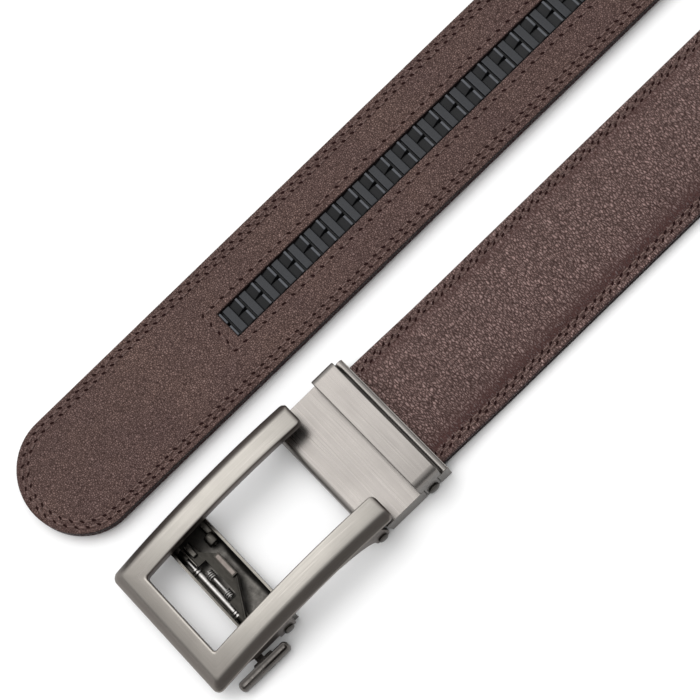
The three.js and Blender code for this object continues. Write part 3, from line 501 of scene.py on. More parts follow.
# Painted shade of the margins: in the stitch grooves, at the foot of the padding and up its near slope.
sewn = np.zeros(ring.shape[:2])
sewn[:, :columns] = front_grooves / SHADE_DEPTH + foot_shade + slope_shade
ring_faces = grid_faces(rows, columns + under, wrap=True) + end_caps(rows, columns + under)
piece_from(
    "belt_front", ring, ring_faces, front_leather, "belt", ("strap_front",),
    sharp_deg=60, attributes={"rim": rim, "sewn": sewn})

# ---------------------------------------------------------------- back leather
# The lining side, smooth and finer grained, sewn round its edge like the front. A long slot is cut
# through it for the ratchet track, with a groove along the row of stitches that frames it.
BACK_THICKNESS = 1.3
BACK_STITCH_ROWS = (1.7, 3.2)
SLOT_HALF = 4.2
SLOT_SEAM = 6.5
SLOT_LEFT_X = -44.3
SLOT_RIGHT_X = 220.8
SLOT_SEAM_AHEAD = 3.0
SLOT_ROUND = 0.3
SLOT_GROOVE_DEPTH, SLOT_GROOVE_HALF = 0.12, 0.45
SLOT_SHADE, SLOT_SHADE_FADE = 0.8, 0.35
BACK_COLUMNS = (
    0, 0.12, 0.3, 0.7, 1.3, 1.7, 2.1, 2.8, 3.2, 3.6, 4.6, 7.0, 9.6, 10.55, 11.0, 11.45, 12.3, 12.95, 13.15,
    13.3, 15.4)

back_leather = leather(
    "back_leather", (0.14, 0.081, 0.066), (0.108, 0.06, 0.053), (0.010, 0.004, 0.004),
    cells=1900.0, stretch=(1.1, 0.9, 1.0), contrast=1.15, depth=0.00015, roughness=0.5, gloss=0.4)

back_shares = shares_across(BACK_COLUMNS)
slot_ends = np.sort(length_at_tail([SLOT_LEFT_X, SLOT_RIGHT_X]))
off_ends = np.min(np.abs(stations[:, None] - slot_ends), axis=1) > 0.4
back_stations = np.concatenate([stations[off_ends], slot_ends, slot_ends + [-0.35, 0.35]])
back_stations = np.unique(np.round(back_stations, 5))
s_back = back_stations[:, None]
v_back = half_width(s_back) * back_shares
back_edge = half_width(s_back) - np.abs(v_back)
along_slot = np.maximum(slot_ends[0] - s_back, s_back - slot_ends[1])
from_slot = np.maximum(along_slot, np.abs(v_back) - SLOT_HALF)
from_slot_seam = np.maximum(along_slot - SLOT_SEAM_AHEAD, np.abs(v_back) - SLOT_SEAM)
back_grooves = stitch_dip(back_edge, BACK_STITCH_ROWS)
back_out = SEAM_HALF + BACK_THICKNESS - back_grooves - rounded_edge(back_edge, EDGE_ROUND)
back_out = back_out - SLOT_GROOVE_DEPTH * hump(from_slot_seam, SLOT_GROOVE_HALF)
back_out = back_out - rounded_edge(np.clip(from_slot, 0, 1), SLOT_ROUND)
back_top = strap_place(s_back, v_back, -back_out)
edge_of_slot = int(np.argmin(np.abs(back_shares * STRAP_HALF + SLOT_HALF)))
back_under_columns = (
    0, 3, 11, edge_of_slot, len(back_shares) // 2, len(back_shares) - 1 - edge_of_slot, -12, -4, -1)
back_under = underside(s_back, v_back[:, back_under_columns], -1)
rows, columns, under = len(back_stations), len(back_shares), len(back_under_columns)
in_slot_row = (back_stations[:-1] > slot_ends[0] - 0.01) & (back_stations[1:] < slot_ends[1] + 0.01)
in_slot_column = np.zeros(columns - 1, bool)
in_slot_column[edge_of_slot:columns - 1 - edge_of_slot] = True
in_slot_under = np.isin(np.arange(under - 1), (3, 4))
back_faces = grid_faces(rows, columns, skip=in_slot_row[:, None] & in_slot_column)
back_faces += grid_faces(rows, under, first=rows * columns, skip=in_slot_row[:, None] & in_slot_under)
base = rows * columns
every_row, slot_row = np.arange(rows - 1), np.nonzero(in_slot_row)[0]
walls = ((0, 0, every_row), (columns - 1, under - 1, every_row),
         (edge_of_slot, 3, slot_row), (columns - 1 - edge_of_slot, 5, slot_row))
for top_column, under_column, a in walls:
    back_faces += np.stack([
        a * columns + top_column, (a + 1) * columns + top_column,
        base + (a + 1) * under + under_column, base + a * under + under_column], -1).tolist()
for row in (slot_row[0], slot_row[-1] + 1):
    across = row * columns + np.arange(edge_of_slot, columns - edge_of_slot)
    back_faces.append(across.tolist() + [base + row * under + column for column in (5, 4, 3)])
for row in (0, rows - 1):
    across = row * columns + np.arange(columns)
    back_faces.append(across.tolist() + (base + row * under + np.arange(under))[::-1].tolist())
back_rim = np.clip(1 - np.minimum(back_edge, np.abs(from_slot)) / RIM_WIDTH, 0, 1).ravel()
back_rim = np.append(back_rim, np.ones(rows * under))
# Painted shade in the stitch grooves and along the groove round the slot.
back_margin_shade = (back_grooves / SHADE_DEPTH + SLOT_SHADE * hump(from_slot_seam, SLOT_SHADE_FADE)).ravel()
back_margin_shade = np.append(back_margin_shade, np.zeros(rows * under))
back_points = np.concatenate([back_top.reshape(-1, 3), back_under.reshape(-1, 3)])
piece_from(
    "belt_back", back_points, back_faces, back_leather, "belt", ("strap_back",),
    sharp_deg=60, attributes={"rim": back_rim, "sewn": back_margin_shade})

# ---------------------------------------------------------------- stitching
# Waxed dark brown thread, machine sewn in two rows along every edge of the strap and round its tip, and
# in one row round the track's slot. Each stitch is a short arch of thread between two needle holes; sway
# is how unevenly it is turned, in radians.
THREAD_RADIUS = 0.3
STITCH_HALF = 1.1
HOLE_HALF = (0.66, 0.3)
STITCH_RISE = 0.17
SLOT_STITCH_PITCH = 3.4
FIRST_STITCH = 16.0
THREAD_SUNK = 0.13
HOLE_LIFT = 0.15
HOLE_SLANT = 0.42
STITCH_SWAY = 0.045
HOLE_SWAY = 0.14
STITCH_STRETCH = (0.92, 1.06)
TUBE_RINGS = 5
TUBE_SIDES = 5
HOLE_SIDES = 8
EDGE_SAMPLES = 1200
TIP_SAMPLES = 240

thread, thread_tree, thread_shader = new_material("waxed_thread")
twist = add_node(
    thread_tree, "ShaderNodeTexWave",
    {"Vector": object_place(thread_tree), "Scale": 900.0, "Distortion": 2.0, "Detail": 1.0},
    bands_direction="DIAGONAL").outputs["Fac"]
thread_tones = mixed(thread_tree, twist, (0.07, 0.036, 0.03), (0.15, 0.088, 0.075))
twist_relief = bumped(thread_tree, twist, 0.0001, 0.8)
wire(thread_shader, {"Base Color": thread_tones, "Roughness": 0.5, "Normal": twist_relief})

# The needle holes are flat discs of painted shadow: the dark inside a hole, a little patchy.
needle_shadow, shadow_tree, shadow_shader = new_material("needle_shadow")
shadow_patchiness = noise(shadow_tree, object_place(shadow_tree), 2500.0, 2.0)
shadow_tones = mixed(shadow_tree, shadow_patchiness, (0.006, 0.003, 0.003), (0.026, 0.012, 0.011))
wire(shadow_shader, {"Base Color": shadow_tones, "Roughness": 1.0, "Specular IOR Level": 0.0})


def edge_path(inset, first_s):
    """Line at a distance inside the strap's outline: out along one edge, round the tip, and back."""
    straight = np.linspace(first_s, STRAP_LENGTH - TIP_LENGTH, EDGE_SAMPLES)
    angle = np.linspace(0, math.pi, TIP_SAMPLES)
    tip_s = STRAP_LENGTH - TIP_LENGTH + (TIP_LENGTH - inset) * np.sin(angle)
    tip_v = (STRAP_HALF - inset) * np.cos(angle)
    side_v = np.full(EDGE_SAMPLES, STRAP_HALF - inset)
    s = np.concatenate([straight, tip_s[1:-1], straight[::-1]])
    return s, np.concatenate([side_v, tip_v[1:-1], -side_v])


def slot_sides(inset, half):
    """The four sides of the rectangle that is sewn round the track's slot, each with whole stitches."""
    s_ends, v_ends = (slot_ends[0] - inset, slot_ends[1] + inset), (-half, half)
    corners = [(s_ends[0], v_ends[0]), (s_ends[1], v_ends[0]), (s_ends[1], v_ends[1]), (s_ends[0], v_ends[1])]
    sides = []
    for (s0, v0), (s1, v1) in zip(corners, corners[1:] + corners[:1]):
        length = math.hypot(s1 - s0, v1 - v0)
        sides.append((np.array([s0, s1]), np.array([v0, v1]), length / round(length / SLOT_STITCH_PITCH)))
    return sides


def sew(paths, out, facing, seed):
    """Stitches on paths of the strap, and flat discs of painted shadow at the needle holes between them, as
    points and faces of each. A stitch is a tube along its path at the height out + STITCH_RISE * (1 - 2.4
    t^2), t from -1 to 1."""
    t, turn = np.meshgrid(
        np.linspace(-1, 1, TUBE_RINGS), np.arange(TUBE_SIDES) * math.tau / TUBE_SIDES, indexing="ij")
    disc = np.arange(HOLE_SIDES) * math.tau / HOLE_SIDES
    threads, holes = [], []
    wobble = np.random.default_rng(seed)
    for s_path, v_path, pitch in paths:
        run = np.concatenate([[0], np.cumsum(np.hypot(np.diff(s_path), np.diff(v_path)))])
        centre = np.arange(pitch / 2, run[-1] - pitch / 3, pitch)
        s0, v0 = np.interp(centre, run, s_path), np.interp(centre, run, v_path)
        ds = np.interp(centre + 0.6, run, s_path) - np.interp(centre - 0.6, run, s_path)
        dv = np.interp(centre + 0.6, run, v_path) - np.interp(centre - 0.6, run, v_path)
        angle = np.arctan2(dv, ds) + wobble.normal(0, STITCH_SWAY, len(centre))
        ds, dv = np.cos(angle)[:, None, None], np.sin(angle)[:, None, None]
        along = STITCH_HALF * t * wobble.uniform(*STITCH_STRETCH, (len(centre), 1, 1))
        aside = THREAD_RADIUS * np.cos(turn)
        height = out + STITCH_RISE * (1 - 2.4 * t * t) + THREAD_RADIUS * np.sin(turn)
        threads.append(strap_place(
            s0[:, None, None] + along * ds - aside * dv, v0[:, None, None] + along * dv + aside * ds,
            facing * (height + np.zeros_like(along))))
        between = centre + pitch / 2
        s1, v1 = np.interp(between, run, s_path), np.interp(between, run, v_path)
        slant = np.interp(between, centre, angle)[:, None] + HOLE_SLANT
        slant = slant + wobble.normal(0, HOLE_SWAY, (len(centre), 1))
        long_way, short_way = HOLE_HALF[0] * np.cos(disc), HOLE_HALF[1] * np.sin(disc)
        holes.append(strap_place(
            s1[:, None] + long_way * np.cos(slant) - short_way * np.sin(slant),
            v1[:, None] + long_way * np.sin(slant) + short_way * np.cos(slant), facing * (out + HOLE_LIFT)))
    threads, holes = np.concatenate(threads), np.concatenate(holes)
    tube = np.array(grid_faces(TUBE_RINGS, TUBE_SIDES, wrap=True))
    cells = tube + TUBE_RINGS * TUBE_SIDES * np.arange(len(threads))[:, None, None]
    discs = np.arange(HOLE_SIDES) + HOLE_SIDES * np.arange(len(holes))[:, None]
    return threads, cells.reshape(-1, 4).tolist(), holes, discs.tolist()


def margin_rows(stitch_rows):
    """The rows along the strap's outline, the second a third of a stitch behind the first."""
    first_places = [FIRST_STITCH + k * STITCH_PITCH / 3 for k in range(len(stitch_rows))]
    return [(*edge_path(row, first_s), STITCH_PITCH) for row, first_s in zip(stitch_rows, first_places)]


sewn_faces = (
    ("front", margin_rows(STITCH_ROWS), FRONT_EDGE, 1, 11),
    ("back", margin_rows(BACK_STITCH_ROWS) + slot_sides(SLOT_SEAM_AHEAD, SLOT_SEAM), BACK_THICKNESS, -1, 12),
)
for face_name, rows_sewn, thickness, facing, seed in sewn_faces:
    surface = SEAM_HALF + thickness - THREAD_SUNK
    threads, thread_faces, holes, hole_faces = sew(rows_sewn, surface, facing, seed)
    piece_from(face_name + "_stitches", threads, thread_faces, thread, "belt")
    piece_from(face_name + "_needle_hole_shadows", holes, hole_faces, needle_shadow, "belt")

# ---------------------------------------------------------------- ratchet track
# One moulded strip of black nylon: a flange that is sewn in under the leather, and a row of teeth that
# stand up through the slot. Each tooth is a bar, and two ramps with a wedge cut between them.
TRACK_LEFT = -44.0
TRACK_TEETH = 46
TRACK_PITCH = 5.75
TRACK_HALF = 3.9
TRACK_BASE_Z = 2.55
TRACK_RISE = 1.25
FLANGE_HALF = 6.2
FLANGE_BOTTOM_Z = 1.75
FLANGE_RISE = 0.8
FLANGE_REACH = 2.3
FLANGE_CORNER = 0.2
# Along one tooth from its bar's left edge in mm, its height and the height in the wedge as shares of the
# rise, the wedge's half width there, and how much painted highlight greys it there.
TOOTH_ROWS = np.array([
    (0.00, 0.62, 0.62, 0.02, 0.1), (0.10, 0.76, 0.76, 0.02, 0.5), (0.25, 0.80, 0.80, 0.02, 0.4),
    (0.34, 0.80, 0.80, 0.02, 0.33), (1.86, 0.80, 0.80, 0.02, 0.33), (1.95, 0.80, 0.80, 0.02, 0.4),
    (2.10, 0.76, 0.76, 0.02, 0.4), (2.20, 0.45, 0.45, 0.02, 0), (2.32, 0.34, 0.04, 0.20, 0),
    (3.20, 0.56, 0.02, 0.32, 0), (4.25, 0.84, 0.00, 0.44, 0), (4.38, 0.95, 0.00, 0.46, 0.3),
    (4.52, 1.00, 0.00, 0.48, 1), (4.92, 1.00, 0.00, 0.53, 1), (5.06, 0.94, 0.00, 0.55, 0.6),
    (5.14, 0.20, 0.00, 0.56, 0), (5.24, 0.02, 0.02, 0.50, 0), (5.64, 0.02, 0.02, 0.30, 0),
])
# The tooth's rounded side: in from its face, and drop below its height as a share of the rise.
TOOTH_SIDE_IN = (0, 0.05, 0.18, 0.4, 0.5)
TOOTH_SIDE_DROP = (0.18, 0.07, 0.01, 0, 0)

nylon, nylon_tree, nylon_shader = new_material("black_nylon")
nylon_cloud = noise(nylon_tree, object_place(nylon_tree), 500.0, 3.0)
nylon_fine = noise(nylon_tree, object_place(nylon_tree), 3500.0, 2.0)
nylon_tones = mixed(nylon_tree, nylon_cloud, (0.003, 0.0032, 0.0036), (0.007, 0.0073, 0.0082))
# A painted grey highlight on the tops of the bars and crests, broken up by fine noise.
highlight_breakup = ranged(nylon_tree, nylon_fine, 0.3, 0.7, 0.75, 1.0)
nylon_highlight = product(nylon_tree, attribute(nylon_tree, "top_highlight"), highlight_breakup)
nylon_colour = mixed(nylon_tree, nylon_highlight, nylon_tones, (0.085, 0.089, 0.099))
wire(nylon_shader, {
    "Base Color": nylon_colour, "Roughness": ranged(nylon_tree, nylon_cloud, 0, 1, 0.34, 0.52),
    "Specular IOR Level": 0.16, "Normal": bumped(nylon_tree, nylon_fine, 0.00004, 0.7)})

track_right = TRACK_LEFT + TRACK_TEETH * TRACK_PITCH
tooth_x = (TRACK_LEFT + 1.0 + TRACK_PITCH * np.arange(-1, TRACK_TEETH)[:, None] + TOOTH_ROWS[:, 0]).ravel()
tooth_heights = np.tile(TOOTH_ROWS[:, 1:], (TRACK_TEETH + 1, 1))
kept = (tooth_x > TRACK_LEFT - 0.3) & (tooth_x < track_right + 0.3)
tooth_x, tooth_heights = tooth_x[kept], tooth_heights[kept]
wedge = tooth_heights[:, 2:3]
half_columns = np.concatenate([
    np.broadcast_to(TRACK_HALF - np.array(TOOTH_SIDE_IN), (len(tooth_x), len(TOOTH_SIDE_IN))),
    wedge + 0.16, wedge + 0.05, wedge, wedge * 0.3], axis=1)
tooth_top, wedge_floor = tooth_heights[:, :1], tooth_heights[:, 1:2]
half_heights = np.concatenate([
    tooth_top - [TOOTH_SIDE_DROP], tooth_top + np.where(wedge > 0.05, [[0, -0.03]], 0),
    np.where(wedge > 0.05, np.minimum(tooth_top - 0.12, wedge_floor + 0.5), tooth_top), wedge_floor], axis=1)
track_y = RUN_SPACING + np.concatenate([-half_columns, half_columns[:, ::-1]], axis=1)
track_height = np.concatenate([half_heights, half_heights[:, ::-1]], axis=1)
track_z = TRACK_BASE_Z + TRACK_RISE * track_height
track_x = np.broadcast_to(tooth_x[:, None], track_y.shape)
teeth_top = np.stack([track_x, track_y, track_z], -1)
skirt_z = np.full_like(tooth_x, FLANGE_BOTTOM_Z)
skirt_far, skirt_near = (
    np.stack([tooth_x, np.full_like(tooth_x, RUN_SPACING + side * TRACK_HALF), skirt_z], -1)
    for side in (1, -1))
teeth_ring = np.concatenate([teeth_top, skirt_far[:, None], skirt_near[:, None]], axis=1)
rows, columns = teeth_ring.shape[:2]
teeth_faces = grid_faces(rows, columns, wrap=True) + end_caps(rows, columns)
flange_left, flange_right = TRACK_LEFT - FLANGE_REACH, track_right + FLANGE_REACH
flange_x = np.array([flange_left, flange_left + FLANGE_CORNER, flange_right - FLANGE_CORNER, flange_right])
flange_inset = np.array([FLANGE_CORNER, 0, 0, FLANGE_CORNER])
flange_section = np.array([(-1, 0.0), (-1, FLANGE_RISE), (1, FLANGE_RISE), (1, 0.0)])
flange_points = np.stack([
    np.broadcast_to(flange_x[:, None], (4, 4)),
    RUN_SPACING + flange_section[:, 0] * (FLANGE_HALF - flange_inset[:, None]),
    np.broadcast_to(FLANGE_BOTTOM_Z + flange_section[:, 1], (4, 4)),
], -1)
flange_faces = grid_faces(4, 4, first=rows * columns, wrap=True) + end_caps(4, 4, first=rows * columns)
track_points = np.concatenate([teeth_ring.reshape(-1, 3), flange_points.reshape(-1, 3)])
# Painted highlight on the tops of the teeth.
top_highlight = np.zeros((rows, columns))
top_highlight[:, :track_height.shape[1]] = tooth_heights[:, 3:4] * (track_height > tooth_top - 0.1)
top_highlight = np.append(top_highlight, np.zeros(len(flange_points.reshape(-1, 3))))
piece_from(
    "toothed_track", track_points, teeth_faces + flange_faces, nylon, "belt",
    ("ratchet_track",), sharp_deg=28, attributes={"top_highlight": top_highlight})

# ---------------------------------------------------------------- brushed metal finish
# Zinc alloy with a brushed gunmetal plating: fine lines along each bar and a soft cloudiness, a painted
# highlight along edges and tops, and on the frame a brown painted shade on its walls, feet, free ends and
# bevels, which in the bevels stands for patina as well.
HIGHLIGHT_SHARE = 0.35
HIGHLIGHT_BRIGHTER = 2.2
HIGHLIGHT_LIMIT = 0.9
SHADE_AND_PATINA_TONES = (0.34, 0.28, 0.27)

brushing, brushing_in, brushing_out = node_group(
    "brushed_lines", [("Place", "NodeSocketVector", None), ("Lines", "NodeSocketVector", (1, 1, 1))],
    ("Line", "Cloud"))
line_place = add_node(
    brushing, "ShaderNodeVectorMath", {0: brushing_in["Place"], 1: brushing_in["Lines"]},
    operation="MULTIPLY")
wire(brushing_out, {
    "Line": noise(brushing, line_place.outputs[0], 1.0, 6.0, 0.75),
    "Cloud": noise(brushing, brushing_in["Place"], 90.0, 3.0)})


def brushed_metal(name, light, dark, roughness, lines, from_uv=False, depth=0.00002):
    """Brushed plating between two tones, with a painted highlight and a brown painted shade where the
    piece's attributes ask for them: lines is how often the brushing changes along each axis of the piece,
    or of its own lengths if from_uv is set, per metre; depth is its relief in metres."""
    material, tree, shader = new_material(name)
    place = add_node(tree, "ShaderNodeTexCoord").outputs["UV" if from_uv else "Object"]
    texture = add_node(tree, "ShaderNodeGroup", {"Place": place, "Lines": lines}, node_tree=brushing).outputs
    tones = mixed(tree, ranged(tree, texture["Line"], 0.3, 0.7), dark, light)
    cloud = ranged(tree, texture["Cloud"], 0.3, 0.7, 0.92, 1.06)
    clouded = mixed(tree, 1.0, tones, cloud, blend_type="MULTIPLY")
    # Painted highlight where the attribute edge is high.
    highlight_tone = tuple(min(c * HIGHLIGHT_BRIGHTER, HIGHLIGHT_LIMIT) for c in light)
    rougher_or_highlit = mixed(tree, product(tree, attribute(tree, "edge"), HIGHLIGHT_SHARE), clouded, highlight_tone)
    # Brown painted shade where its attribute is high; in the frame's bevels it stands for patina as well.
    shade_and_patina_tone = tuple(c * share for c, share in zip(light, SHADE_AND_PATINA_TONES))
    shaded = mixed(tree, attribute(tree, "shade_and_patina"), rougher_or_highlit, shade_and_patina_tone)
    polish = ranged(tree, texture["Line"], 0.3, 0.7, roughness + 0.07, roughness - 0.05)
    wire(shader, {
        "Base Color": shaded, "Metallic": 1.0, "Roughness": polish,
        "Normal": bumped(tree, texture["Line"], depth)})
    return material


# ---------------------------------------------------------------- buckle frame
# A cast U of flat bar, arched along the belt, with a wide soft bevel round its outer edge. Two long arms
# join one end bar; their free ends are rounded over.
FRAME_RIGHT = -48.0
FRAME_LEFT = -109.3
FRAME_HALF = 20.8
FRAME_THICKNESS = 2.9
END_BAR = 6.8
ARM_WIDTH = 7.6
ARCH_X = -67.0
ARCH_TOP = 13.0
ARCH_RADIUS = 160.0
# Round the bar's section from its outer foot: distance in from its outer or its inner edge (1), drop
# below the arched top, corner radius there, its painted highlight, and its brown painted shade, which in
# the bevel stands for patina as well.
BAR_SECTION = np.array([
    (0.30, 0, 2.90, 1.7, 0, 1), (0.06, 0, 2.82, 1.9, 0, 1), (0.00, 0, 2.62, 2.0, 0, 1),
    (0.00, 0, 2.40, 2.0, 0.1, 0.9), (0.05, 0, 2.22, 2.0, 0.6, 0.3), (0.22, 0, 2.00, 1.9, 0.2, 0.5),
    (0.90, 0, 1.34, 1.6, 0, 0.6), (1.50, 0, 0.78, 1.3, 0, 0.6), (1.90, 0, 0.44, 1.1, 0, 0.5),
    (2.20, 0, 0.2, 1.0, 0.1, 0.15), (2.55, 0, 0.05, 0.9, 0.1, 0), (2.9, 0, 0.0, 0.8, 0, 0),
    (-0.75, 1, 0.0, 0.8, 0, 0), (-0.38, 1, 0.03, 0.8, 0.6, 0), (-0.16, 1, 0.13, 0.8, 0.4, 0.4),
    (-0.04, 1, 0.3, 0.8, 0, 1), (0.00, 1, 0.55, 0.8, 0, 1), (0.00, 1, 2.62, 0.8, 0, 0.8),
    (-0.06, 1, 2.82, 0.8, 0, 1), (-0.30, 1, 2.90, 0.8, 0, 1),
])
END_DISTANCES = np.array([0, 0.06, 0.2, 0.45, 0.8, 1.2, 1.7, 2.3])
END_CORNER = 1.7
END_DROP = 0.9
# At each free end, row by row: its painted highlight and its brown painted shade.
END_HIGHLIGHT_AND_SHADE = ((0, 1), (0, 1), (0, 0.9), (0.3, 0.6), (0.5, 0.3))
END_BAR_SHADE = 0.24

frame_metal = brushed_metal(
    "brushed_bars", (0.248, 0.234, 0.214), (0.212, 0.2, 0.182), 0.3, (40, 2600, 1),
    from_uv=True, depth=0.00001)


def arch_z(x):
    """Height of the frame's arched top: a parabola of ARCH_RADIUS about its highest point."""
    return ARCH_TOP - (x - ARCH_X) ** 2 / (2 * ARCH_RADIUS)


inset = BAR_SECTION[:, 0]
from_inner = BAR_SECTION[:, 1] == 1
inset_x = np.where(from_inner, END_BAR + inset, inset)
inset_y = np.where(from_inner, ARM_WIDTH + inset, inset)
drop, corner = BAR_SECTION[:, 2], BAR_SECTION[:, 3]
corner_x = FRAME_LEFT + inset_x + corner
corner_y = FRAME_HALF - inset_y - corner
arm_shares = np.linspace(0, 1, 30)[:-1, None]
arm_start = FRAME_RIGHT - END_DISTANCES[-1]
end_x = np.repeat((FRAME_RIGHT - END_DISTANCES)[:, None], len(inset), axis=1)
arm_x = np.concatenate([end_x, arm_start + (corner_x - arm_start) * arm_shares[1:]])
beyond_end = np.zeros((len(arm_shares) - 1, 1))
end_inset = np.concatenate([rounded_edge(END_DISTANCES, END_CORNER)[:, None], beyond_end])
end_drop = np.concatenate([rounded_edge(END_DISTANCES, END_DROP)[:, None], beyond_end])
arm_y = FRAME_HALF - np.clip(inset_y, end_inset, ARM_WIDTH - end_inset)
arm_drop = np.clip(drop, end_drop, FRAME_THICKNESS - 0.3 * end_drop)
turn = np.linspace(math.pi / 2, math.pi, 9)[:, None]
turn_x, turn_y = corner_x + corner * np.cos(turn), corner_y + corner * np.sin(turn)
bar_shares = np.linspace(0, 1, 24)[1:-1, None]
bar_x = np.broadcast_to(corner_x - corner, (len(bar_shares), len(inset)))
bar_y = corner_y * (1 - 2 * bar_shares)
u_x = np.concatenate([arm_x, turn_x, bar_x, turn_x[::-1], arm_x[::-1]])
u_y = np.concatenate([arm_y, turn_y, bar_y, -turn_y[::-1], -arm_y[::-1]])
plain_drop = np.broadcast_to(drop, (2 * len(turn) + len(bar_shares), len(inset)))
u_drop = np.concatenate([arm_drop, plain_drop, arm_drop[::-1]])
u_points = np.stack([u_x, u_y, arch_z(u_x) - u_drop], -1)
u_along = np.concatenate([[0], np.cumsum(np.linalg.norm(np.diff(u_points[:, 8], axis=0), axis=1))])
down_side = np.where(drop > 1, drop, 0)
u_across = np.where(from_inner, (END_BAR + ARM_WIDTH) / 2 + inset + down_side, inset - down_side)
bars_uv = np.stack(np.broadcast_arrays(u_along[:, None], u_across), -1) * 0.001
rows, columns = u_x.shape
bars_faces = grid_faces(rows, columns, wrap=True) + end_caps(rows, columns)
bars_highlight = np.broadcast_to(BAR_SECTION[:, 4], (rows, columns)).copy()
bars_shade_and_patina = np.broadcast_to(BAR_SECTION[:, 5], (rows, columns)).copy()
for row, (highlight_there, shade_and_patina_there) in enumerate(END_HIGHLIGHT_AND_SHADE):
    for end_row in (row, rows - 1 - row):
        bars_highlight[end_row] = np.maximum(bars_highlight[end_row], highlight_there)
        bars_shade_and_patina[end_row] = np.maximum(bars_shade_and_patina[end_row], shade_and_patina_there)
# Painted shade: the end bar is darker than the arms, for the dimmer reflection of its sloping top.
bars_shade_and_patina = np.maximum(bars_shade_and_patina, END_BAR_SHADE * eased((-92.0 - u_x) / 14.0))
piece_from(
    "buckle_bars", u_points, bars_faces, frame_metal, "buckle", ("buckle_frame",),
    sharp_deg=50, attributes={"edge": bars_highlight, "shade_and_patina": bars_shade_and_patina}, uv=bars_uv)

# ---------------------------------------------------------------- ears under the arms
# Flat cheeks cast in one with the arms, which leave the bar in hollow curves. The right pair holds the
# hinge pin, the left pair the tray.
EAR_OUTER = 20.4
EAR_INNER = 19.1
HINGE_X = -53.4
HINGE_Z = 3.1
HINGE_EAR_RADIUS = 2.2
EAR_LEAN = math.radians(15)
COVE_X = -77.6
TRAY_EAR_RIGHT = -83.1
TRAY_EAR_LEFT = -96.4
TRAY_COVE_X = -101.9
TRAY_COVE_Z = 4.0
TRAY_EAR_FOOT_X = -88.5
TRAY_EAR_FOOT_Z = 2.3
ROOTED = 0.5

cast_metal = brushed_metal("cast_plating", (0.15, 0.13, 0.118), (0.1, 0.086, 0.078), 0.36, (400, 400, 400))


def arc(x, z, radius_x, radius_z, first, last, count=14):
    """Arc of an ellipse about (x, z), from one angle to another in degrees."""
    angle = np.radians(np.linspace(first, last, count))
    return np.stack([x + radius_x * np.cos(angle), z + radius_z * np.sin(angle)], -1)


def under_arch(x0, x1):
    """Line just inside the bar's underside, from x0 to x1."""
    x = np.linspace(x0, x1, 12)
    return np.stack([x, arch_z(x) - FRAME_THICKNESS + ROOTED], -1)


def round_edges(piece, width, from_deg):
    """Rounds a piece's edges that turn by more than from_deg, to a width in mm."""
    rounding = piece.modifiers.new("rounded_edges", "BEVEL")
    rounding.width, rounding.segments = width * 0.001, 2
    rounding.limit_method, rounding.angle_limit = "ANGLE", math.radians(from_deg)


def slabs(name, parts, material, body, bevel, replaces=(), sharp_deg=40):
    """Flat slabs with bevelled edges. Each part is an outline of pairs, the axis it is carried along (1 for
    an outline in x and z, 2 for one in x and y, 0 for one in y and z), and the two places between, in mm."""
    points, faces, first = [], [], 0
    for outline, axis, low, high in parts:
        count = len(outline)
        points += [np.insert(np.asarray(outline, float), axis, place, axis=1) for place in (low, high)]
        near, far = first + np.arange(count), first + count + np.arange(count)
        faces += [near.tolist(), far[::-1].tolist()]
        faces += np.stack([near, far, np.roll(far, -1), np.roll(near, -1)], -1).tolist()
        first += 2 * count
    piece = piece_from(name, np.concatenate(points), faces, material, body, replaces, sharp_deg)
    round_edges(piece, bevel, 40)


edge_x = HINGE_X + HINGE_EAR_RADIUS * math.cos(EAR_LEAN)
edge_z = HINGE_Z + HINGE_EAR_RADIUS * math.sin(EAR_LEAN)
root_x = edge_x - math.tan(EAR_LEAN) * (arch_z(edge_x) - FRAME_THICKNESS + ROOTED - edge_z)
hinge_cove_rise = arch_z(COVE_X) - FRAME_THICKNESS - HINGE_Z
hinge_ear = np.concatenate([
    under_arch(root_x, COVE_X),
    arc(COVE_X, HINGE_Z, HINGE_X - HINGE_EAR_RADIUS - COVE_X, hinge_cove_rise, 90, 0, 24)[:-1],
    arc(HINGE_X, HINGE_Z, HINGE_EAR_RADIUS, HINGE_EAR_RADIUS, 180, 375, 26),
])
tray_cove_rise = arch_z(TRAY_COVE_X) - FRAME_THICKNESS - TRAY_COVE_Z
tray_ear = np.concatenate([
    under_arch(TRAY_EAR_RIGHT, TRAY_COVE_X),
    arc(TRAY_COVE_X, TRAY_COVE_Z, TRAY_EAR_LEFT - TRAY_COVE_X, tray_cove_rise, 90, 0),
    [(TRAY_EAR_FOOT_X, TRAY_COVE_Z), (TRAY_EAR_FOOT_X, TRAY_EAR_FOOT_Z)],
    arc(TRAY_EAR_RIGHT - 1, TRAY_EAR_FOOT_Z + 1, 1, 1, 270, 360, 7),
])
ear_sides = ((EAR_INNER, EAR_OUTER), (-EAR_OUTER, -EAR_INNER))
ear_parts = [(ear, 1, *side) for ear in (hinge_ear, tray_ear) for side in ear_sides]
slabs("buckle_ears", ear_parts, cast_metal, "buckle", 0.18)


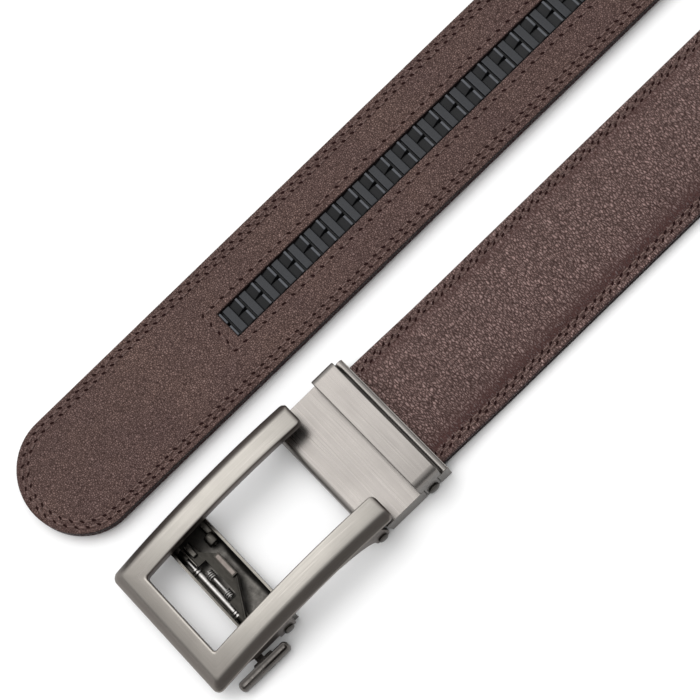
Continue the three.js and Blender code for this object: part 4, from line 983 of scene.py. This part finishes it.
# ---------------------------------------------------------------- clamp, keeper and jaw
# Folded sheet steel with the same brushed plating: the clamp's plate curls round the hinge pin and is
# folded down at both sides, the keeper is a raised band riveted over it, and the jaw grips from below.
def softened(node, name, material, body, width, highlight_above=None):
    """A copy of a CAD node with its flat faces joined up and its edges rounded to a given width in mm; what
    lies above the given height, if any, gets a painted highlight."""
    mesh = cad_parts[node].data.copy()
    mesh.name = name
    shell = bmesh.new()
    shell.from_mesh(mesh)
    bmesh.ops.remove_doubles(shell, verts=shell.verts, dist=2e-6)
    bmesh.ops.dissolve_limit(
        shell, angle_limit=math.radians(0.4), verts=shell.verts, edges=shell.edges, delimit=set())
    shell.to_mesh(mesh)
    shell.free()
    if highlight_above is not None:
        places = np.empty(3 * len(mesh.vertices), np.float32)
        mesh.vertices.foreach_get("co", places)
        layer = mesh.attributes.new("edge", "FLOAT", "POINT")
        layer.data.foreach_set("value", (places[2::3] > highlight_above * 0.001).astype(np.float32))
    round_edges(dressed(mesh, name, material, body, (node,), 40), width, 32)


plate_metal = brushed_metal(
    "brushed_plate", (0.194, 0.181, 0.169), (0.182, 0.169, 0.158), 0.28, (2600, 40, 2600), depth=0.000003)
jaw_metal = brushed_metal("dark_plating", (0.1, 0.094, 0.088), (0.06, 0.057, 0.054), 0.4, (900, 200, 900))
softened("clamp_body", "clamp_plate", plate_metal, "belt", 0.2)
softened("clamp_jaw", "jaw_plate", jaw_metal, "belt", 0.12)

# The keeper is one band folded over in round shoulders; a tab at each end is let into the clamp's side.
KEEPER_X = (-39.5, -32.3)
KEEPER_TAB_X = (-38.15, -33.65)
KEEPER_HALF = (18.9, 19.9)
KEEPER_Z = (9.4, 10.4)
KEEPER_FOOT_Z = 5.15
KEEPER_TAB_Z = (0.15, 5.6)
TAB_INSET = 0.03
SHOULDER = 2.1
fold_middle = (KEEPER_HALF[1] - SHOULDER, KEEPER_Z[1] - SHOULDER)
outer_fold, inner_fold = (
    arc(*fold_middle, radius, radius, 0, 90, 9)
    for radius in (SHOULDER, SHOULDER - KEEPER_Z[1] + KEEPER_Z[0]))
half_band = np.concatenate([[(KEEPER_HALF[0], KEEPER_FOOT_Z), (KEEPER_HALF[1], KEEPER_FOOT_Z)], outer_fold])
band_outline = np.concatenate([half_band[1:], half_band[:0:-1] * [-1, 1], [(-KEEPER_HALF[0], KEEPER_FOOT_Z)],
                               inner_fold * [-1, 1], inner_fold[::-1], [half_band[0]]])
tab_outline = [(KEEPER_TAB_X[x], KEEPER_TAB_Z[z]) for x, z in ((0, 0), (1, 0), (1, 1), (0, 1))]
tab_places = (KEEPER_HALF[0] + TAB_INSET, KEEPER_HALF[1] - TAB_INSET)
tab_parts = [(tab_outline, 1, -tab_places[1], -tab_places[0]), (tab_outline, 1, *tab_places)]
slabs("keeper_band", [(band_outline, 0, *KEEPER_X)], plate_metal, "belt", 0.22,
      ("keeper_loop",))
slabs("keeper_tabs", tab_parts, plate_metal, "belt", 0.1)

# The clamp's mouth is rolled over into a bead that the front leather comes out from under.
BEAD_MIDDLE_X = -31.15
BEAD_HALF = 1.1
BEAD_RISE = 0.75
PLATE_TOP_Z = 5.0
BEAD_REACH = 20.02
bead_section = np.concatenate([
    arc(BEAD_MIDDLE_X, PLATE_TOP_Z - 0.1, BEAD_HALF, BEAD_RISE, 0, 180, 15),
    [(BEAD_MIDDLE_X - BEAD_HALF, PLATE_TOP_Z - 0.5), (BEAD_MIDDLE_X + BEAD_HALF, PLATE_TOP_Z - 0.5)],
])
slabs("mouth_bead", [(bead_section, 1, -BEAD_REACH, BEAD_REACH)], plate_metal, "belt", 0.15,
      sharp_deg=50)


# ---------------------------------------------------------------- pins and rivets
# Turned steel: the hinge pin and four short rivets, two in the keeper's tabs and two in the left ears,
# each with a low domed head on the outside.
TURNED_SIDES = 40
SHANK_RADIUS = 0.7
HEAD_RIM = 0.25
DOME_START = 0.32
DOME_RISE = 0.38
DOME_SHARE = 0.93
KEEPER_RIVET = (-35.9, 1.7)
TRAY_RIVET = (-85.5, 3.6)
HINGE_HEAD_Y = 20.55


def turned(name, profiles, material, body, replaces=()):
    """Surfaces of revolution about lines along Y: each profile is x, z and rows of radius and y."""
    points, faces, first = [], [], 0
    angle = np.arange(TURNED_SIDES) * math.tau / TURNED_SIDES
    for x, z, profile in profiles:
        radius, y = np.asarray(profile, float).T
        ring = np.stack([
            x + radius[:, None] * np.cos(angle), np.broadcast_to(y[:, None], (len(y), TURNED_SIDES)),
            z + radius[:, None] * np.sin(angle)], -1)
        points.append(ring.reshape(-1, 3))
        faces += grid_faces(len(y), TURNED_SIDES, first=first, wrap=True)
        first += len(y) * TURNED_SIDES
    piece_from(name, np.concatenate(points), faces, material, body, replaces)


def headed(radius, inner, outer, side):
    """Half profile of a headed rivet: a shank from inner to outer, then a low dome with a turned rim."""
    t = np.linspace(0, math.pi / 2, 9)
    dome = np.stack([radius * DOME_SHARE * np.cos(t), outer + DOME_START + DOME_RISE * np.sin(t)], -1)
    shank = [(0, inner), (SHANK_RADIUS, inner), (SHANK_RADIUS, outer - 0.01), (radius, outer)]
    return np.concatenate([shank, [(radius, outer + HEAD_RIM)], dome]) * [1, side]


pin_metal = brushed_metal("turned_steel", (0.11, 0.102, 0.094), (0.06, 0.056, 0.052), 0.24, (900, 900, 900))
for side, place in ((-1, "near"), (1, "far")):
    turned("keeper_rivet_head_" + place, [(*KEEPER_RIVET, headed(1.65, 17.95, 20.05, side))],
           pin_metal, "belt", ("keeper_rivet_" + place,))
    turned("tray_rivet_head_" + place, [(*TRAY_RIVET, headed(1.5, 17.75, 20.55, side))],
           pin_metal, "buckle", ("tray_rivet_" + place,))
hinge_near, hinge_far = (headed(1.4, 0, HINGE_HEAD_Y, side) for side in (-1, 1))
hinge_ends = np.concatenate([hinge_near[::-1][:-1], hinge_far[1:]])
turned("hinge_pin_turned", [(HINGE_X, HINGE_Z, hinge_ends)],
       pin_metal, "buckle", ("hinge_pin",))

# ---------------------------------------------------------------- ratchet tray, pawl and lever
# Under the frame a pressed channel carries the pawl on a bright pin; two small coils press the pawl up,
# and a finger lever outside the near ear lets it down.
tray_metal = brushed_metal("tray_steel", (0.105, 0.098, 0.087), (0.05, 0.046, 0.041), 0.27, (900, 300, 900))
pawl_metal = brushed_metal("pawl_steel", (0.026, 0.024, 0.021), (0.018, 0.017, 0.015), 0.3, (1200, 400, 1200))
bright_metal = brushed_metal("bright_steel", (0.44, 0.425, 0.41), (0.3, 0.29, 0.28), 0.34, (300, 3000, 300))
lever_metal = brushed_metal(
    "lever_plating", (0.125, 0.115, 0.107), (0.074, 0.068, 0.063), 0.28, (1200, 300, 1200))
# The tray's wall tops and the pawl's top take a painted highlight.
softened("pawl_tray", "tray_channel", tray_metal, "buckle", 0.15, highlight_above=4.3)
softened("pawl", "pawl_plate", pawl_metal, "release", 0.14, highlight_above=4.8)

# The tray's floor is pressed up in a hollow along its right wall, with a step at its near end.
TRAY_FLOOR_Z = 0.8
TRAY_FLOOR_X = (-93.8, -82.5)
TRAY_FLOOR_HALF = 17.7
HOLLOW_RADIUS = 1.9
floor_section = np.concatenate([
    [(TRAY_FLOOR_X[0], TRAY_FLOOR_Z + 0.06)],
    arc(-84.6, TRAY_FLOOR_Z + 0.06 + HOLLOW_RADIUS, HOLLOW_RADIUS, HOLLOW_RADIUS, 270, 360, 12),
    [(-82.65, 3.4), (TRAY_FLOOR_X[1], 3.4)],
    [(TRAY_FLOOR_X[1], TRAY_FLOOR_Z - 0.1), (TRAY_FLOOR_X[0], TRAY_FLOOR_Z - 0.1)],
])
pressings = [
    (floor_section, 1, -TRAY_FLOOR_HALF, TRAY_FLOOR_HALF),
    ([(-86.6, -13.6), (-82.7, -13.6), (-82.7, -10.6), (-85.9, -10.6)], 2, TRAY_FLOOR_Z, 2.0),
    ([(-85.6, -13.7), (-82.7, -13.7), (-82.7, -11.9), (-85.2, -11.9)], 2, TRAY_FLOOR_Z, 3.3),
]
pressed_metal = brushed_metal(
    "pressed_steel", (0.1, 0.094, 0.086), (0.045, 0.042, 0.038), 0.4, (500, 500, 500))
slabs("tray_pressing", pressings, pressed_metal, "buckle", 0.1, sharp_deg=50)

# The pawl carries a turned-up lip along its slanted side, and two ribs are pressed in its far end.
lip_outline = [(-86.35, -1.6), (-85.7, -1.3), (-91.5, -11.5), (-92.1, -11.3)]
slabs("pawl_lip", [(lip_outline, 2, 3.9, 4.75)], pawl_metal, "release", 0.12)
pawl_ribs = [
    ([(-90.9, 9.7), (-89.5, 9.7), (-89.5, 13.75), (-90.9, 13.75)], 2, 3.9, 4.85),
    ([(-91.95, 7.4), (-91.35, 7.4), (-91.35, 13.75), (-91.95, 13.75)], 2, 3.1, 4.3),
]
slabs("pawl_ribs", pawl_ribs, tray_metal, "release", 0.25)
tooth_face = [(-87.05, -1.15), (-85.36, -1.15), (-85.36, 6.15), (-87.05, 6.15)]
slabs("pawl_tooth_face", [(tooth_face, 2, 4.05, 5.06)], cast_metal, "release", 0.4)
boss_profile = [
    (0, 9.9), (0.85, 9.9), (0.95, 9.3), (1.2, 9.1), (1.5, 9.2), (1.62, 9.5), (1.62, 11.9), (1.3, 12.2),
    (0, 12.2)]
turned("tray_boss", [(-84.5, 2.45, boss_profile)], tray_metal, "buckle")

# The finger lever is a rounded pad, dished along its top, on the neck and cheek that reach the pawl's pin.
PAD_MIDDLE = (-96.4, -22.8)
PAD_HALF = (8.1, 1.45)
# In from the pad's outline, its height, and its painted highlight.
PAD_ROWS = np.array([
    (0.5, 1.2, 0), (0.16, 1.3, 0), (0.0, 1.6, 0), (0.0, 2.55, 0), (0.08, 2.95, 0.5), (0.3, 3.26, 1),
    (0.5, 3.36, 1), (0.66, 3.32, 0.3), (0.85, 3.15, 0), (1.15, 3.08, 0)])
PAD_CORNER = 1.25
CORNER_POINTS = 10
pad_rows, pad_sides = len(PAD_ROWS), 4 * CORNER_POINTS
pad_turn = (np.arange(pad_sides) + np.arange(pad_sides) // CORNER_POINTS) * math.tau / (pad_sides + 4)
pad_round = np.stack([np.cos(pad_turn), np.sin(pad_turn)], -1)
pad_side = np.repeat([(1, 1), (-1, 1), (-1, -1), (1, -1)], CORNER_POINTS, axis=0)
pad_middles = np.array(PAD_MIDDLE) + (np.array(PAD_HALF) - PAD_CORNER) * pad_side
pad_outline = pad_middles + (PAD_CORNER - PAD_ROWS[:, :1, None]) * pad_round
pad_heights = np.broadcast_to(PAD_ROWS[:, 1, None, None], (pad_rows, pad_sides, 1))
piece_from(
    "lever_pad", np.concatenate([pad_outline, pad_heights], -1),
    grid_faces(pad_rows, pad_sides, wrap=True) + end_caps(pad_rows, pad_sides),
    lever_metal, "release", ("release_lever",), sharp_deg=40,
    attributes={"edge": np.broadcast_to(PAD_ROWS[:, 2:], (pad_rows, pad_sides))})
cheek_outline = [
    (-97.0, 1.2), (-92.6, 1.2), (-91.5, 1.9), (-91.6, 2.7), (-92.6, 3.3), (-93.6, 2.9), (-95.0, 2.5),
    (-97.0, 2.5)]
neck = [
    ([(-98.9, -22.0), (-98.2, -20.7), (-92.6, -20.7), (-92.2, -22.0)], 2, 1.35, 2.44),
    ([(-96.95, -22.0), (-94.8, -22.0), (-94.8, -16.3), (-96.95, -16.3)], 2, 1.23, 2.48),
    (cheek_outline, 1, -17.45, -16.25),
]
slabs("lever_neck", neck, lever_metal, "release", 0.12)

# The pawl turns on a bright pin, with a sleeve between two pairs of turned rings.
PIN_X, PIN_Z, PIN_RADIUS = -92.6, 2.2, 0.8
SLEEVE_ENDS = (-9.1, 7.9)
ring_steps = [
    (0.62, 0), (1.0, 0.02), (1.2, 0.12), (1.2, 0.52), (0.66, 0.6), (0.66, 0.96), (1.2, 1.04), (1.2, 1.44),
    (0.66, 1.52), (0.66, 1.8), (0.97, 1.86)]
pin_profile = [(0, -18.95), (0.7, -18.95), (PIN_RADIUS, -18.8)]
pin_profile += [(radius, SLEEVE_ENDS[0] + step) for radius, step in ring_steps]
pin_profile += [(radius, SLEEVE_ENDS[1] - step) for radius, step in ring_steps[::-1]]
pin_profile += [(PIN_RADIUS, 18.8), (0.7, 18.95), (0, 18.95)]
turned("pawl_pin_turned", [(PIN_X, PIN_Z, pin_profile)],
       bright_metal, "buckle", ("pawl_pin",))

COIL_X, COIL_Z = -90.6, 3.5
COIL_MIDDLES = (3.5, -3.2)
COIL_LENGTH = 1.9
COIL_TURNS = 3.2
COIL_RADIUS = 0.92
WIRE_RADIUS = 0.22
WIRE_SIDES = 8
STEPS_IN_A_TURN = 28
rod_profile = [(0, -4.3), (0.4, -4.3), (0.5, -4.15), (0.5, 4.75), (0.4, 4.9), (0, 4.9)]
turned("spring_rod", [(COIL_X, COIL_Z, rod_profile)], bright_metal, "release")


def wound_wire(centre_y):
    """A wire of round section along a helix about a line along Y, as rings of points."""
    t = np.linspace(0, 1, int(COIL_TURNS * STEPS_IN_A_TURN))[:, None]
    angle = t * COIL_TURNS * math.tau
    around = np.arange(WIRE_SIDES) * math.tau / WIRE_SIDES
    out = COIL_RADIUS + WIRE_RADIUS * np.cos(around)
    y = centre_y + (t - 0.5) * COIL_LENGTH + WIRE_RADIUS * np.sin(around)
    return np.stack([COIL_X + out * np.cos(angle), y, COIL_Z + out * np.sin(angle)], -1)


wires = [wound_wire(centre) for centre in COIL_MIDDLES]
wire_faces = []
for k, wire in enumerate(wires):
    first = k * len(wire) * WIRE_SIDES
    wire_faces += grid_faces(len(wire), WIRE_SIDES, first=first, wrap=True)
    wire_faces += end_caps(len(wire), WIRE_SIDES, first=first)
piece_from("spring_coils", np.concatenate(wires), wire_faces, bright_metal,
           "release", ("torsion_spring",), sharp_deg=60)
